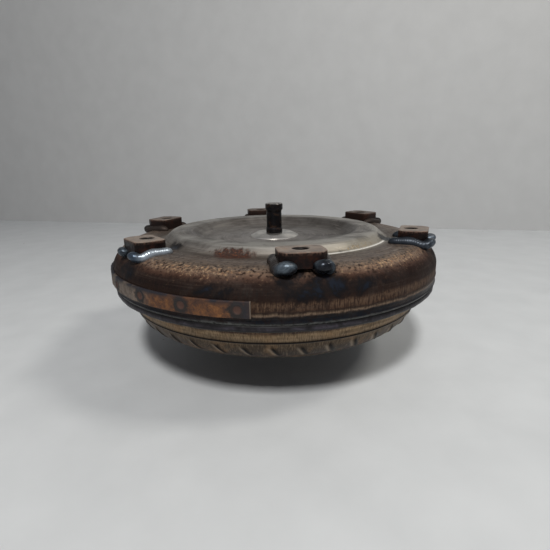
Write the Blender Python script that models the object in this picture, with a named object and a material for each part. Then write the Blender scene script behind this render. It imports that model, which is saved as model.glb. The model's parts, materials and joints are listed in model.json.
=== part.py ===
"""Torque converter of a car's automatic gearbox, pilot pin up, standing on its pump neck.

Metres, +Z up along the spin axis, origin at the middle of the neck's open end.
"""

import math

import bmesh
import bpy
from mathutils import Matrix, Vector

# Clearances, and how far joined pieces and cutters reach into or past their faces
GAP = 0.0003
RUNNING_GAP = 0.0006
LUG_SEAT_GAP = 0.0007
JOIN_DEPTH = 0.0005
CUT_PAST = 0.0010

# Pump drive neck, which the object stands on
NECK_RADIUS = 0.0225
NECK_WALL = 0.0027
NECK_REACH = 0.0296
NECK_FILLET = 0.0020
NECK_FLANGE_THICKNESS = 0.0040
NECK_FLANGE_STEP = 0.0010
NECK_SLOT_WIDTH = 0.0080
NECK_SLOT_DEPTH = 0.0090
NECK_CHAMFER = 0.0010

# Splined race on the axis, and the one-way clutch round it
INNER_RACE_RADIUS = 0.0246
INNER_RACE_BORE_RADIUS = 0.0150
INNER_RACE_LENGTH = 0.0215
SPLINE_DEPTH = 0.0012
SPLINE_TEETH = 16
ROLLER_COUNT = 8
ROLLER_RADIUS = 0.0028
ROLLER_LAND_LAP = 0.0015
CAM_DEPTH = 0.0022
OUTER_RACE_WALL = 0.0090
SIDE_PLATE_THICKNESS = 0.0018
SIDE_PLATE_LAP = 0.0030

# Stator wheel
STATOR_BLADES = 11
STATOR_HUB_WALL = 0.0070
STATOR_HALF_LENGTH = 0.0085
STATOR_SHROUD_THICKNESS = 0.0018
STATOR_BLADE_THICKNESS = 0.0042
STATOR_HUB_DROP = 0.00345
STATOR_BLADE_DROP = 0.0015

# Thrust bearings and washer
BEARING_STEP = 0.0016
BEARING_WIDTH = 0.0083
RACE_THICKNESS = 0.0008
NEEDLE_RADIUS = 0.0010
NEEDLE_COUNT = 10
CAGE_PLATE_THICKNESS = 0.0012
THRUST_WASHER_THICKNESS = 0.0018
THRUST_WASHER_WIDTH = 0.0085

# Fluid ring, as its outer skin, from beyond the thrust bearings
RING_STEP = 0.0053
RING_WIDTH = 0.0774
RING_FULLNESS = 2.2
IMPELLER_DEPTH = 0.0304
TURBINE_DEPTH = 0.0255
WHEEL_PARTING = 0.0020
TURBINE_RADIAL_GAP = 0.0015
SHELL_WALL = 0.0025
TURBINE_WALL = 0.0018
CORE_HALF_WIDTH = 0.0145
CORE_HALF_DEPTH = 0.0100
CORE_WALL = 0.0012
IMPELLER_BLADES = 40
TURBINE_BLADES = 25
BLADE_THICKNESS = 0.0011
BLADE_ROWS = 3
BLADE_FOOT_ANGLE = math.radians(48)
IMPELLER_SWEEP = math.radians(-4)
TURBINE_SWEEP = math.radians(16)

# Tab marks, pressed into the impeller shell beside each blade
MARK_FIRST_ANGLE = math.radians(-90)
MARK_LENGTH = 0.0112
MARK_WIDTH = 0.0026
MARK_DEPTH = 0.0008
MARK_SLANT = math.radians(62)
MARKS_FROM_ANGLE = math.radians(-17)
MARKS_TO_ANGLE = math.radians(-42)

# Impeller shell, outside the fluid ring: the flare that the cover's skirt sits on
FLARE_STEP = 0.0019
FLARE_WIDTH = 0.0068
FLARE_DEPTH = 0.0062
FLARE_ROUND = 0.0010
SHELL_RIM_LENGTH = 0.0055

# Front cover, from the wall inwards
COVER_WALL = 0.0038
COVER_SKIRT = 0.0078
CORNER_REACH = 0.0180
CORNER_DROP = 0.0160
CORNER_FULLNESS = 1.8
SHOULDER_WIDTH = 0.0208
OUTER_RISE_WIDTH = 0.0069
PLATEAU_RISE = 0.0060
PLATEAU_WIDTH = 0.0157
PLATEAU_ROUND = 0.0020
INNER_RISE_WIDTH = 0.0106
DISH_DEPTH = 0.0077
SKIRT_BEVEL = 0.0012
CLOSING_WELD_LEG = 0.0032

# Pilot
PILOT_DISC_RADIUS = 0.0205
PILOT_DISC_SLOPE = 0.0050
PILOT_DISC_HEIGHT = 0.0031
PILOT_LEDGE = 0.0040
PILOT_FLANGE_STEP = 0.0055
PILOT_FLANGE_THICKNESS = 0.0020
PIN_HEIGHT = 0.0242
PIN_SHANK_RADIUS = 0.00635
PIN_HEAD_STEP = 0.00095
PIN_HEAD_HEIGHT = 0.0055
PIN_FLARE_STEP = 0.00055
PIN_FLARE_HEIGHT = 0.0040
PIN_EDGE = 0.0010
PIN_TAIL_DEPTH = 0.0030
PIN_TAIL_STEP = 0.00135

# Drive lugs, as they lie in from the cover's wall
LUG_COUNT = 6
LUG_INSET = 0.0200
LUG_FIRST_ANGLE = math.radians(-90 + 7.8)
LUG_INNER_REACH = 0.0082
LUG_OUTER_REACH = 0.0124
LUG_WIDTH = 0.0286
LUG_HEIGHT = 0.0093
LUG_CORNER = 0.0035
LUG_HOLE_RADIUS = 0.0044
LUG_COUNTERSINK = 0.0010
LUG_WELD_RADIUS = 0.0042
LUG_WELD_OVERRUN = 0.0034

# Balance strip, whose upper edge lies where the round corner ends
STRIP_THICKNESS = 0.0016
STRIP_WIDTH = 0.0100
STRIP_START_ANGLE = math.radians(-96)
STRIP_SWEEP = math.radians(-92)

# Turbine hub, as a boss on a riveted flange with a splined bore
TURBINE_HUB_RADIUS = 0.0245
TURBINE_BORE_RADIUS = 0.0130
TURBINE_FLANGE_REACH = 0.0072
TURBINE_FLANGE_THICKNESS = 0.0035
SEAL_GROOVE_DEPTH = 0.0016
SEAL_WIDTH = 0.0018
RIVET_COUNT = 6
RIVET_RADIUS = 0.0022
RIVET_HEAD_RADIUS = 0.0038
RIVET_HEAD_HEIGHT = 0.0014
RIVET_EDGE = 0.0055
RIVET_STEP = 0.0085

# Lock-up clutch and damper
LOCKUP_TRAVEL = 0.0009
PISTON_THICKNESS = 0.0025
PISTON_BACK_GAP = 0.0042
PISTON_RIM_SPACE = 0.0127
PISTON_RIVET_GAP = 0.0011
PISTON_INNER_BEND = 0.0080
PISTON_OUTER_BEND = 0.0014
PISTON_SLEEVE_WALL = 0.0030
PISTON_SLEEVE_HEIGHT = 0.0016
PISTON_NOTCH_DEPTH = 0.0040
LINING_THICKNESS = 0.0012
LINING_INSET = 0.0055
LINING_WIDTH = 0.0120
CAGE_WALL = 0.0016
CAGE_ROUND = 0.0010
CAGE_INNER_HEIGHT = 0.0062
CAGE_OUTER_HEIGHT = 0.0125
STOP_LAP = 0.0001
SPRING_COUNT = 4
SPRING_INSET = 0.0013
SPRING_COIL_RADIUS = 0.0051
SPRING_WIRE_RADIUS = 0.0011
SPRING_TURNS = 4
SPRING_SPAN = math.radians(30)
SPRING_SEAT_GAP = math.radians(0.6)
DRIVE_TAB_WIDTH = 0.0100
DRIVEN_RING_THICKNESS = 0.0018
DRIVEN_RING_REACH = 0.0202
FINGER_SINK = 0.0004

# How finely round shapes are divided; the cover and the bladed shell keep in step
WIDE_SIDES = IMPELLER_BLADES
DAMPER_SIDES = 30
INNER_SIDES = 24
SMALL_SIDES = 18
WIDE_START_ANGLE = MARK_FIRST_ANGLE - math.pi / WIDE_SIDES - IMPELLER_SWEEP * 0.4

# Radii, from the axis outwards
NECK_BORE_RADIUS = NECK_RADIUS - NECK_WALL
BEARING_INNER_RADIUS = INNER_RACE_RADIUS + BEARING_STEP
BEARING_OUTER_RADIUS = BEARING_INNER_RADIUS + BEARING_WIDTH
ROLLER_CIRCLE_RADIUS = INNER_RACE_RADIUS + GAP + ROLLER_RADIUS
OUTER_RACE_BORE_RADIUS = ROLLER_CIRCLE_RADIUS + ROLLER_RADIUS - ROLLER_LAND_LAP
STATOR_BORE_RADIUS = OUTER_RACE_BORE_RADIUS + OUTER_RACE_WALL
STATOR_HUB_RADIUS = STATOR_BORE_RADIUS + STATOR_HUB_WALL
RING_INNER_RADIUS = BEARING_OUTER_RADIUS + RING_STEP
RING_HALF_WIDTH = RING_WIDTH / 2
RING_MID_RADIUS = RING_INNER_RADIUS + RING_HALF_WIDTH
SHROUD_OUTER_RADIUS = RING_MID_RADIUS - CORE_HALF_WIDTH - 2 * RUNNING_GAP
SHROUD_INNER_RADIUS = SHROUD_OUTER_RADIUS - STATOR_SHROUD_THICKNESS
NECK_FLANGE_RADIUS = RING_INNER_RADIUS - GAP
TURBINE_FLANGE_RADIUS = RING_INNER_RADIUS + TURBINE_FLANGE_REACH
RIVET_CIRCLE_RADIUS = TURBINE_FLANGE_RADIUS - RIVET_EDGE
TURBINE_STEP_RADIUS = RIVET_CIRCLE_RADIUS - RIVET_STEP
FLARE_FOOT_RADIUS = RING_MID_RADIUS + RING_HALF_WIDTH + FLARE_STEP
SHELL_RIM_RADIUS = FLARE_FOOT_RADIUS + FLARE_WIDTH
COVER_RADIUS = SHELL_RIM_RADIUS + GAP + COVER_WALL
CORNER_FOOT_RADIUS = COVER_RADIUS - CORNER_REACH
SHOULDER_FOOT_RADIUS = CORNER_FOOT_RADIUS - SHOULDER_WIDTH
PLATEAU_OUTER_RADIUS = SHOULDER_FOOT_RADIUS - OUTER_RISE_WIDTH
PLATEAU_INNER_RADIUS = PLATEAU_OUTER_RADIUS - PLATEAU_WIDTH
DISH_RADIUS = PLATEAU_INNER_RADIUS - INNER_RISE_WIDTH
COVER_BORE_RADIUS = PILOT_DISC_RADIUS - PILOT_LEDGE
LUG_CIRCLE_RADIUS = COVER_RADIUS - LUG_INSET
LUG_INNER_RADIUS = LUG_CIRCLE_RADIUS - LUG_INNER_REACH
LUG_OUTER_RADIUS = LUG_CIRCLE_RADIUS + LUG_OUTER_REACH
PISTON_RADIUS = COVER_RADIUS - COVER_WALL - PISTON_RIM_SPACE
LINING_OUTER_RADIUS = PISTON_RADIUS - LINING_INSET
LINING_INNER_RADIUS = LINING_OUTER_RADIUS - LINING_WIDTH
SPRING_CIRCLE_RADIUS = PISTON_RADIUS - SPRING_INSET
DRIVEN_RING_INNER_RADIUS = SPRING_CIRCLE_RADIUS - DRIVEN_RING_REACH

# Levels along the axis: the wheels' parting, then the stack on the spin axis below it
BEARING_HEIGHT = RACE_THICKNESS + 2 * GAP + 2 * NEEDLE_RADIUS
HALF_STACK = INNER_RACE_LENGTH / 2 + SIDE_PLATE_THICKNESS + GAP
PARTING = NECK_REACH + IMPELLER_DEPTH
IMPELLER_CENTRE = PARTING - WHEEL_PARTING / 2
TURBINE_CENTRE = PARTING + WHEEL_PARTING / 2
STATOR_MIDDLE = PARTING - STATOR_HUB_DROP
STATOR_BLADE_MIDDLE = PARTING - STATOR_BLADE_DROP
LOWER_BEARING_LEVEL = STATOR_MIDDLE - HALF_STACK - BEARING_HEIGHT
NECK_TOP = LOWER_BEARING_LEVEL - GAP
FLANGE_LEVEL = NECK_TOP - NECK_FLANGE_STEP - SHELL_WALL
UPPER_BEARING_LEVEL = STATOR_MIDDLE + HALF_STACK
TURBINE_FLANGE_LEVEL = UPPER_BEARING_LEVEL + BEARING_HEIGHT + GAP
RIVET_TOP = TURBINE_FLANGE_LEVEL + TURBINE_WALL + 2 * GAP + TURBINE_FLANGE_THICKNESS + RIVET_HEAD_HEIGHT

# Levels of the clutch and the cover, from the turbine's back up
PISTON_INNER_LEVEL = RIVET_TOP + PISTON_RIVET_GAP
PISTON_LEVEL = PARTING + TURBINE_DEPTH + PISTON_BACK_GAP
LINING_LEVEL = PISTON_LEVEL + PISTON_THICKNESS + GAP
SPRING_LEVEL = PISTON_LEVEL - 2 * RUNNING_GAP - CAGE_WALL - SPRING_WIRE_RADIUS - SPRING_COIL_RADIUS
COVER_EDGE = PARTING + COVER_SKIRT
SHOULDER = LINING_LEVEL + LINING_THICKNESS + GAP + LOCKUP_TRAVEL + COVER_WALL
CORNER_LOW = SHOULDER - CORNER_DROP
PLATEAU = SHOULDER + PLATEAU_RISE
DISH_FLOOR = PLATEAU - DISH_DEPTH
PILOT_TOP = DISH_FLOOR + PILOT_DISC_HEIGHT
PILOT_UNDER = DISH_FLOOR - COVER_WALL - GAP
TURBINE_HUB_TOP = PILOT_UNDER - PILOT_FLANGE_THICKNESS - THRUST_WASHER_THICKNESS - 2 * GAP
LUG_TOP = SHOULDER + LUG_HEIGHT


def finish(name, colour, roughness, metallic):
    """A plain Principled material."""
    made = bpy.data.materials.new(name)
    made.use_nodes = True
    shader = made.node_tree.nodes["Principled BSDF"]
    shader.inputs["Base Color"].default_value = (*colour, 1)
    shader.inputs["Roughness"].default_value = roughness
    shader.inputs["Metallic"].default_value = metallic
    made.diffuse_color = (*colour, 1)
    return made


def polar(radius, angle, height=0.0):
    return Vector((radius * math.cos(angle), radius * math.sin(angle), height))


def oval(centre, half, fullness, angle):
    """A point (r, z) of a rounded oval about centre; fullness 2 is an ellipse."""
    across, along = math.cos(angle), math.sin(angle)
    power = 2 / fullness
    return (
        centre[0] + half[0] * math.copysign(abs(across) ** power, across),
        centre[1] + half[1] * math.copysign(abs(along) ** power, along),
    )


def oval_angle(share, fullness):
    """The angle at which the oval stands at this share of its half depth."""
    return math.asin(min(1.0, abs(share)) ** (fullness / 2))


def steps(first, last, count):
    """Count + 1 values from first to last."""
    return [first + (last - first) * k / count for k in range(count + 1)]


def placed(name, mesh, material, body=None):
    """An object of this bmesh, under the empty of the body that it moves with."""
    bmesh.ops.remove_doubles(mesh, verts=mesh.verts, dist=1e-6)
    bmesh.ops.recalc_face_normals(mesh, faces=mesh.faces)
    data = bpy.data.meshes.new(name)
    mesh.to_mesh(data)
    mesh.free()
    data.shade_smooth()
    data.set_sharp_from_angle(angle=math.radians(32))
    made = bpy.data.objects.new(name, data)
    bpy.context.scene.collection.objects.link(made)
    if material:
        data.materials.append(material)
    if body:
        made.parent = body
    return made


def spun(outline, sides, start=0.0):
    """An (r, z) outline spun about the Z axis, closed unless it starts and ends on the axis."""
    mesh = bmesh.new()
    points = [mesh.verts.new(polar(r, start, z)) for r, z in outline]
    edges = [mesh.edges.new(pair) for pair in zip(points, points[1:])]
    if outline[0][0] > 0:
        edges.append(mesh.edges.new((points[-1], points[0])))
    bmesh.ops.spin(
        mesh,
        geom=points + edges,
        cent=(0, 0, 0),
        axis=(0, 0, 1),
        angle=2 * math.pi,
        steps=sides,
        use_merge=True,
    )
    return mesh


def prism(points, bottom, top):
    """A flat (x, y) outline raised from bottom to top."""
    mesh = bmesh.new()
    low = [mesh.verts.new((x, y, bottom)) for x, y in points]
    high = [mesh.verts.new((x, y, top)) for x, y in points]
    mesh.faces.new(low[::-1])
    mesh.faces.new(high)
    for k in range(len(points)):
        following = (k + 1) % len(points)
        mesh.faces.new((low[k], low[following], high[following], high[k]))
    return mesh


def merged(meshes):
    """Several bmeshes in one, as separate shells."""
    whole = bmesh.new()
    for mesh in meshes:
        spare = bpy.data.meshes.new("spare")
        mesh.to_mesh(spare)
        mesh.free()
        whole.from_mesh(spare)
        bpy.data.meshes.remove(spare)
    return whole


def tube(rings):
    """A closed skin over rings of as many points each, in triangles, as its quads are twisted."""
    mesh = bmesh.new()
    rows = [[mesh.verts.new(point) for point in ring] for ring in rings]
    for a, b in zip(rows, rows[1:]):
        for k in range(len(a)):
            n = (k + 1) % len(a)
            mesh.faces.new((a[k], a[n], b[n], b[k]))
    mesh.faces.new(rows[0])
    mesh.faces.new(rows[-1])
    bmesh.ops.triangulate(mesh, faces=mesh.faces)
    return mesh


def moved(mesh, matrix):
    bmesh.ops.transform(mesh, matrix=matrix, verts=mesh.verts)
    return mesh


def combined(target, operation, mesh, name):
    """Cuts or joins a helper shape by a Boolean, and keeps the helper out of the render."""
    helper = placed(name, mesh, None)
    helper.hide_render = True
    helper.display_type = "WIRE"
    modifier = target.modifiers.new(name, "BOOLEAN")
    modifier.operation = operation
    modifier.solver = "EXACT"
    modifier.object = helper
    return target


def cut(target, mesh, name):
    return combined(target, "DIFFERENCE", mesh, name)


def joined(target, mesh, name):
    return combined(target, "UNION", mesh, name)


def sector(inner, outer, middle, half_angle, bottom, top, divisions=2):
    """A block between two radii, over an arc either side of a middle angle."""
    angles = steps(middle - half_angle, middle + half_angle, divisions)
    outline = [polar(outer, a)[:2] for a in angles]
    outline += [polar(inner, a)[:2] for a in reversed(angles)]
    return prism(outline, bottom, top)


def toothed(radius, depth, teeth):
    """The outline of a splined bore, whose teeth point inwards."""
    pitch = 2 * math.pi / teeth
    outline = []
    for tooth in range(teeth):
        for share, reach in ((0.10, 0), (0.40, 0), (0.55, depth), (0.95, depth)):
            outline.append(polar(radius + reach, pitch * (tooth + share))[:2])
    return outline


def pressed_mark(mesh, corners):
    """A slanted dent in a facet: the rest of the facet round it, its four walls and its floor.

    corners run round the facet as seen from outside, from the upper left one.
    """
    middle = sum((corner.co for corner in corners), Vector()) / 4
    across = (corners[1].co + corners[2].co - corners[0].co - corners[3].co).normalized()
    upward = corners[0].co + corners[1].co - corners[2].co - corners[3].co
    inward = upward.cross(across).normalized()
    down = inward.cross(across)
    along = across * math.cos(MARK_SLANT) + down * math.sin(MARK_SLANT)
    aside = across * math.sin(MARK_SLANT) - down * math.cos(MARK_SLANT)
    mouth, floor = [], []
    for end, side in ((-1, 1), (1, 1), (1, -1), (-1, -1)):
        place = middle + along * end * MARK_LENGTH / 2 + aside * side * MARK_WIDTH / 2
        mouth.append(mesh.verts.new(place))
        place -= along * end * MARK_DEPTH / 2 + aside * side * MARK_DEPTH / 2
        floor.append(mesh.verts.new(place + inward * MARK_DEPTH))
    for k in range(4):
        n = (k + 1) % 4
        mesh.faces.new((corners[k], corners[n], mouth[n], mouth[k]))
        mesh.faces.new((mouth[k], mouth[n], floor[n], floor[k]))
    mesh.faces.new(floor)


def bladed_shell(outer, inner, crown, first, blades, sweep, marked=None):
    """A turned shell with blades standing on its inner side, all one brazed piece.

    outer and inner are (r, z) lines from the same rim to the same edge. The blades stand
    on the points of inner from number first on, and reach to the points of crown. The
    blade's two faces are grid lines of the inner side, so the blade rises out of it.
    A marked row of the outer side bears a tab mark in each of its facets.
    """
    mesh = bmesh.new()
    pitch = 2 * math.pi / blades
    start = WIDE_START_ANGLE if marked else 0

    def column(line, angle, lean):
        return [mesh.verts.new(polar(r, angle + turn, z)) for (r, z), turn in zip(line, lean)]

    last = first + len(crown) - 1
    lean = [sweep * min(max(k - first, 0), last - first) / (last - first) for k in range(len(inner))]
    turned = [sweep * max(k - first, 0) / (len(outer) - 1 - first) for k in range(len(outer))]
    skins, walls, crowns = [], [], []
    for blade in range(blades):
        angle = start + pitch * blade
        skins.append(column(outer, angle, turned))
        for side in (-1, 1):
            half = [side * math.asin(BLADE_THICKNESS / 2 / r) for r, _ in inner]
            walls.append(column(inner, angle, [a + b for a, b in zip(lean, half)]))
            half = [side * math.asin(BLADE_THICKNESS / 2 / r) for r, _ in crown]
            crowns.append(column(crown, angle, [a + b for a, b in zip(lean[first:], half)]))
    for blade in range(blades):
        here, there = skins[blade], skins[(blade + 1) % blades]
        for row in range(len(outer) - 1):
            corners = (here[row], there[row], there[row + 1], here[row + 1])
            if row == marked:
                pressed_mark(mesh, corners)
            else:
                mesh.faces.new(corners)
        left, right, across = walls[2 * blade], walls[2 * blade + 1], walls[(2 * blade + 2) % (2 * blades)]
        for end in (0, -1):
            mesh.faces.new((here[end], there[end], across[end], right[end]))
            mesh.faces.new((here[end], right[end], left[end]))
    for k, (wall, crest) in enumerate(zip(walls, crowns)):
        following = (k + 1) % len(walls)
        on_blade = k % 2 == 0
        for row in range(len(inner) - 1):
            c = row - first
            standing = first <= row < last
            here, there, at = (crest, crowns[following], c) if on_blade and standing else (
                wall, walls[following], row
            )
            mesh.faces.new((here[at], there[at], there[at + 1], here[at + 1]))
            if standing:
                mesh.faces.new((wall[row], wall[row + 1], crest[c + 1], crest[c]))
        if on_blade:
            for row, c in ((first, 0), (last, -1)):
                there = (walls[following][row], crowns[following][c])
                mesh.faces.new((wall[row], there[0], there[1], crest[c]))
    return mesh


def lug_angles():
    return [LUG_FIRST_ANGLE + 2 * math.pi * k / LUG_COUNT for k in range(LUG_COUNT)]


def corner_line(reach, drop, count):
    """The rounded outer corner of the cover, from the shoulder down to the wall."""
    foot = (CORNER_FOOT_RADIUS, CORNER_LOW)
    return [oval(foot, (reach, drop), CORNER_FULLNESS, a) for a in steps(math.pi / 2, 0, count)]


def front_cover(material):
    """The drawn cover: sunk middle, raised ring, flat shoulder, round corner and wall."""
    crest_drop = PLATEAU_RISE * 0.1
    outside = [
        (COVER_BORE_RADIUS, DISH_FLOOR),
        (DISH_RADIUS, DISH_FLOOR),
        (PLATEAU_INNER_RADIUS, PLATEAU - crest_drop),
        (PLATEAU_INNER_RADIUS + PLATEAU_ROUND, PLATEAU),
        (PLATEAU_OUTER_RADIUS - PLATEAU_ROUND, PLATEAU),
        (PLATEAU_OUTER_RADIUS, PLATEAU - crest_drop),
        (SHOULDER_FOOT_RADIUS, SHOULDER),
        *corner_line(CORNER_REACH, CORNER_DROP, 4),
        (COVER_RADIUS, COVER_EDGE + SKIRT_BEVEL),
        (COVER_RADIUS - SKIRT_BEVEL, COVER_EDGE),
    ]
    wall = COVER_WALL
    inside = [
        (COVER_RADIUS - wall, COVER_EDGE),
        *reversed(corner_line(CORNER_REACH - wall, CORNER_DROP - wall, 2)),
        (SHOULDER_FOOT_RADIUS - wall / 2, SHOULDER - wall),
        (PLATEAU_OUTER_RADIUS - wall / 2, PLATEAU - wall),
        (PLATEAU_INNER_RADIUS + wall / 2, PLATEAU - wall),
        (DISH_RADIUS + wall / 2, DISH_FLOOR - wall),
        (COVER_BORE_RADIUS, DISH_FLOOR - wall),
    ]
    return placed("front_cover", spun(outside + inside, WIDE_SIDES, WIDE_START_ANGLE), material)


def pilot(disc_material, pin_material):
    """The welded pilot disc, and the spigot pressed into it."""
    neck = COVER_BORE_RADIUS - GAP
    flange = PILOT_DISC_RADIUS + PILOT_FLANGE_STEP
    under = PILOT_UNDER
    tail = PIN_SHANK_RADIUS - PIN_TAIL_STEP
    seat = tail + GAP
    top = PILOT_TOP
    disc = [
        (0.0, top - PIN_TAIL_DEPTH),
        (seat, top - PIN_TAIL_DEPTH),
        (seat, top),
        (PILOT_DISC_RADIUS - PILOT_DISC_SLOPE, top),
        (PILOT_DISC_RADIUS, DISH_FLOOR + GAP),
        (neck, DISH_FLOOR + GAP),
        (neck, under),
        (flange, under),
        (flange, under - PILOT_FLANGE_THICKNESS),
        (0.0, under - PILOT_FLANGE_THICKNESS),
    ]
    placed("pilot_disc", spun(disc, SMALL_SIDES), disc_material)
    base = top + GAP
    tip = top + PIN_HEIGHT
    head = tip - PIN_HEAD_HEIGHT
    wide = PIN_SHANK_RADIUS + PIN_HEAD_STEP
    flared = PIN_SHANK_RADIUS + PIN_FLARE_STEP
    pin = [
        (0.0, tip),
        (wide - PIN_EDGE, tip),
        (wide, tip - PIN_EDGE),
        (wide, head + PIN_EDGE / 2),
        (PIN_SHANK_RADIUS, head - PIN_EDGE / 2),
        (PIN_SHANK_RADIUS, base + PIN_FLARE_HEIGHT),
        (flared, base + PIN_FLARE_HEIGHT - PIN_EDGE),
        (flared, base),
        (tail, base),
        (tail, top - PIN_TAIL_DEPTH + GAP),
        (0.0, top - PIN_TAIL_DEPTH + GAP),
    ]
    placed("pilot_pin", spun(pin, SMALL_SIDES), pin_material)


def cover_skin():
    """The cover's shoulder and round corner as (r, z), from the shoulder's foot outwards."""
    return [(SHOULDER_FOOT_RADIUS, SHOULDER), *corner_line(CORNER_REACH, CORNER_DROP, 4)]


def on_skin(x, y, rise=0.0):
    """A point at x, y that stands a little over the cover's skin, plus its rise."""
    radius = math.hypot(x, y)
    for (near, high), (far, low) in zip(cover_skin(), cover_skin()[1:]):
        if radius <= far:
            level = high + (low - high) * (radius - near) / (far - near)
            break
    else:
        level = low
    return Vector((x, y, level + LUG_SEAT_GAP + rise))


def lug_mesh():
    """A flat-bottomed lug along +X with a fillet weld down each side, each ending in a ball.

    Each cross-section goes round the underside, up one weld, over the top and down the
    other weld. The lug juts out over the round corner. The two welds go on alone past its
    outer end, turn in towards each other there and end.
    """
    mesh = bmesh.new()
    half, leg = LUG_WIDTH / 2, LUG_WELD_RADIUS
    seat = SHOULDER + LUG_SEAT_GAP
    stations = (
        (LUG_INNER_RADIUS, half - LUG_CORNER, 0.25),
        (LUG_INNER_RADIUS + LUG_CORNER, half, 0.85),
        (CORNER_FOOT_RADIUS, half, 1.0),
        (LUG_OUTER_RADIUS - LUG_CORNER, half, 0.9),
        (LUG_OUTER_RADIUS, half - LUG_CORNER / 2, 1.0),
    )
    rows = []
    for x, wide, share in stations:
        weld = leg * share
        ring = [Vector((x, 0, seat)), Vector((x, wide, seat)), on_skin(x, half + weld)]
        ring += [on_skin(x, half + weld * 0.7, weld * 0.75), on_skin(x, wide, weld * 1.1)]
        ring.append(Vector((x, wide, LUG_TOP)))
        ring += [Vector((p.x, -p.y, p.z)) for p in reversed(ring[1:])]
        rows.append([mesh.verts.new(point) for point in ring])
    count = len(rows[0])
    for a, b in zip(rows, rows[1:]):
        for k in range(count):
            n = (k + 1) % count
            mesh.faces.new((a[k], a[n], b[n], b[k]))
    end = rows[-1]
    for a, b, c in ((0, 1, 4), (0, 4, 5), (0, 5, 6), (0, 6, 7), (0, 7, 10)):
        mesh.faces.new((rows[0][a], rows[0][b], rows[0][c]))
        mesh.faces.new((end[a], end[b], end[c]))
    mesh.faces.new(rows[0][1:5])
    mesh.faces.new(rows[0][7:11])
    for side, root in ((1, end[1:5]), (-1, end[7:11][::-1])):
        previous = root
        for ahead, inner, outer, rise in ((0.3, 1.9, -0.4, 1.1), (1.0, 1.4, 0.1, 0.7)):
            x = LUG_OUTER_RADIUS + LUG_WELD_OVERRUN * ahead
            near, far = side * (half - leg * inner), side * (half - leg * outer)
            inset = (far - near) / 4
            ring = [on_skin(x, near), on_skin(x, far)]
            ring += [on_skin(x, far - inset, leg * rise), on_skin(x, near + inset, leg * rise)]
            ring = [mesh.verts.new(point) for point in ring]
            for k in range(4):
                n = (k + 1) % 4
                mesh.faces.new((previous[k], previous[n], ring[n], ring[k]))
            previous = ring
        mesh.faces.new(previous)
    bmesh.ops.triangulate(mesh, faces=mesh.faces)
    return mesh


def drive_lugs(material):
    """Six tapped pads round the shoulder, each with its two fillet welds."""
    for number, angle in enumerate(lug_angles(), 1):
        turn = Matrix.Rotation(angle, 4, "Z")
        lug = placed(f"drive_lug_{number}", moved(lug_mesh(), turn), material)
        hole = [
            (0.0, LUG_TOP + CUT_PAST),
            (LUG_HOLE_RADIUS + LUG_COUNTERSINK + CUT_PAST, LUG_TOP + CUT_PAST),
            (LUG_HOLE_RADIUS, LUG_TOP - LUG_COUNTERSINK),
            (LUG_HOLE_RADIUS, CORNER_LOW),
            (0.0, CORNER_LOW),
        ]
        bit = moved(spun(hole, 12, math.pi / 12), Matrix.Translation((LUG_CIRCLE_RADIUS, 0, 0)))
        cut(lug, moved(bit, turn), f"lug_{number}_hole")


def balance_strip(material):
    """A strip of sheet bent round the cover's wall."""
    inner = COVER_RADIUS + GAP
    outer = inner + STRIP_THICKNESS
    top = CORNER_LOW + GAP
    middle = STRIP_START_ANGLE + STRIP_SWEEP / 2
    band = sector(inner, outer, middle, abs(STRIP_SWEEP) / 2, top - STRIP_WIDTH, top, 18)
    placed("balance_strip", band, material)


def shell_flare():
    """The impeller shell's outer line from inside the cover's skirt down to the fluid ring."""
    return [
        (SHELL_RIM_RADIUS, COVER_EDGE + SHELL_RIM_LENGTH),
        (SHELL_RIM_RADIUS, COVER_EDGE - FLARE_ROUND),
        (FLARE_FOOT_RADIUS + FLARE_ROUND, COVER_EDGE - FLARE_DEPTH),
        (FLARE_FOOT_RADIUS, IMPELLER_CENTRE),
    ]


def closing_weld(material):
    """The ring of weld under the cover's edge, on the impeller shell's flare."""
    _, bend, foot, _ = shell_flare()
    leg = CLOSING_WELD_LEG
    outline = [
        (COVER_RADIUS - SKIRT_BEVEL, COVER_EDGE - GAP),
        (COVER_RADIUS - SKIRT_BEVEL - leg * 0.45, COVER_EDGE - leg * 0.65),
        (bend[0] - leg * 0.55, COVER_EDGE - leg * 1.6),
        (foot[0] + GAP * 1.5, foot[1] - GAP),
        (bend[0] + GAP * 0.5, bend[1] - GAP),
        (bend[0] + GAP * 1.5, COVER_EDGE - GAP),
    ]
    placed("closing_weld", spun(outline, WIDE_SIDES, WIDE_START_ANGLE), material)


def ring_line(centre, half, first, last, count):
    """Points on the fluid ring's oval."""
    return [
        oval((RING_MID_RADIUS, centre), half, RING_FULLNESS, a) for a in steps(first, last, count)
    ]


def crown_line(centre, sign):
    """Where the blades' free edges meet the core ring, with the gap left for it."""
    half = (CORE_HALF_WIDTH + RUNNING_GAP, CORE_HALF_DEPTH + RUNNING_GAP)
    foot = math.pi - sign * BLADE_FOOT_ANGLE
    return ring_line(centre, half, 2 * math.pi if sign < 0 else 0, foot, BLADE_ROWS)


def core_ring(name, centre, sign, material, body=None):
    """The half hoop that the blades' free edges are fixed to."""
    first, last = (math.pi, 2 * math.pi) if sign < 0 else (math.pi, 0)
    half = (CORE_HALF_WIDTH, CORE_HALF_DEPTH)
    foot = math.pi - sign * BLADE_FOOT_ANGLE
    outer = ring_line(centre, half, first, foot, 1)[:-1]
    outer += ring_line(centre, half, foot, last, BLADE_ROWS)
    inner = ring_line(
        centre, (CORE_HALF_WIDTH - CORE_WALL, CORE_HALF_DEPTH - CORE_WALL), last, first, 3
    )
    return placed(name, spun(outer + inner, INNER_SIDES), material, body)


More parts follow.
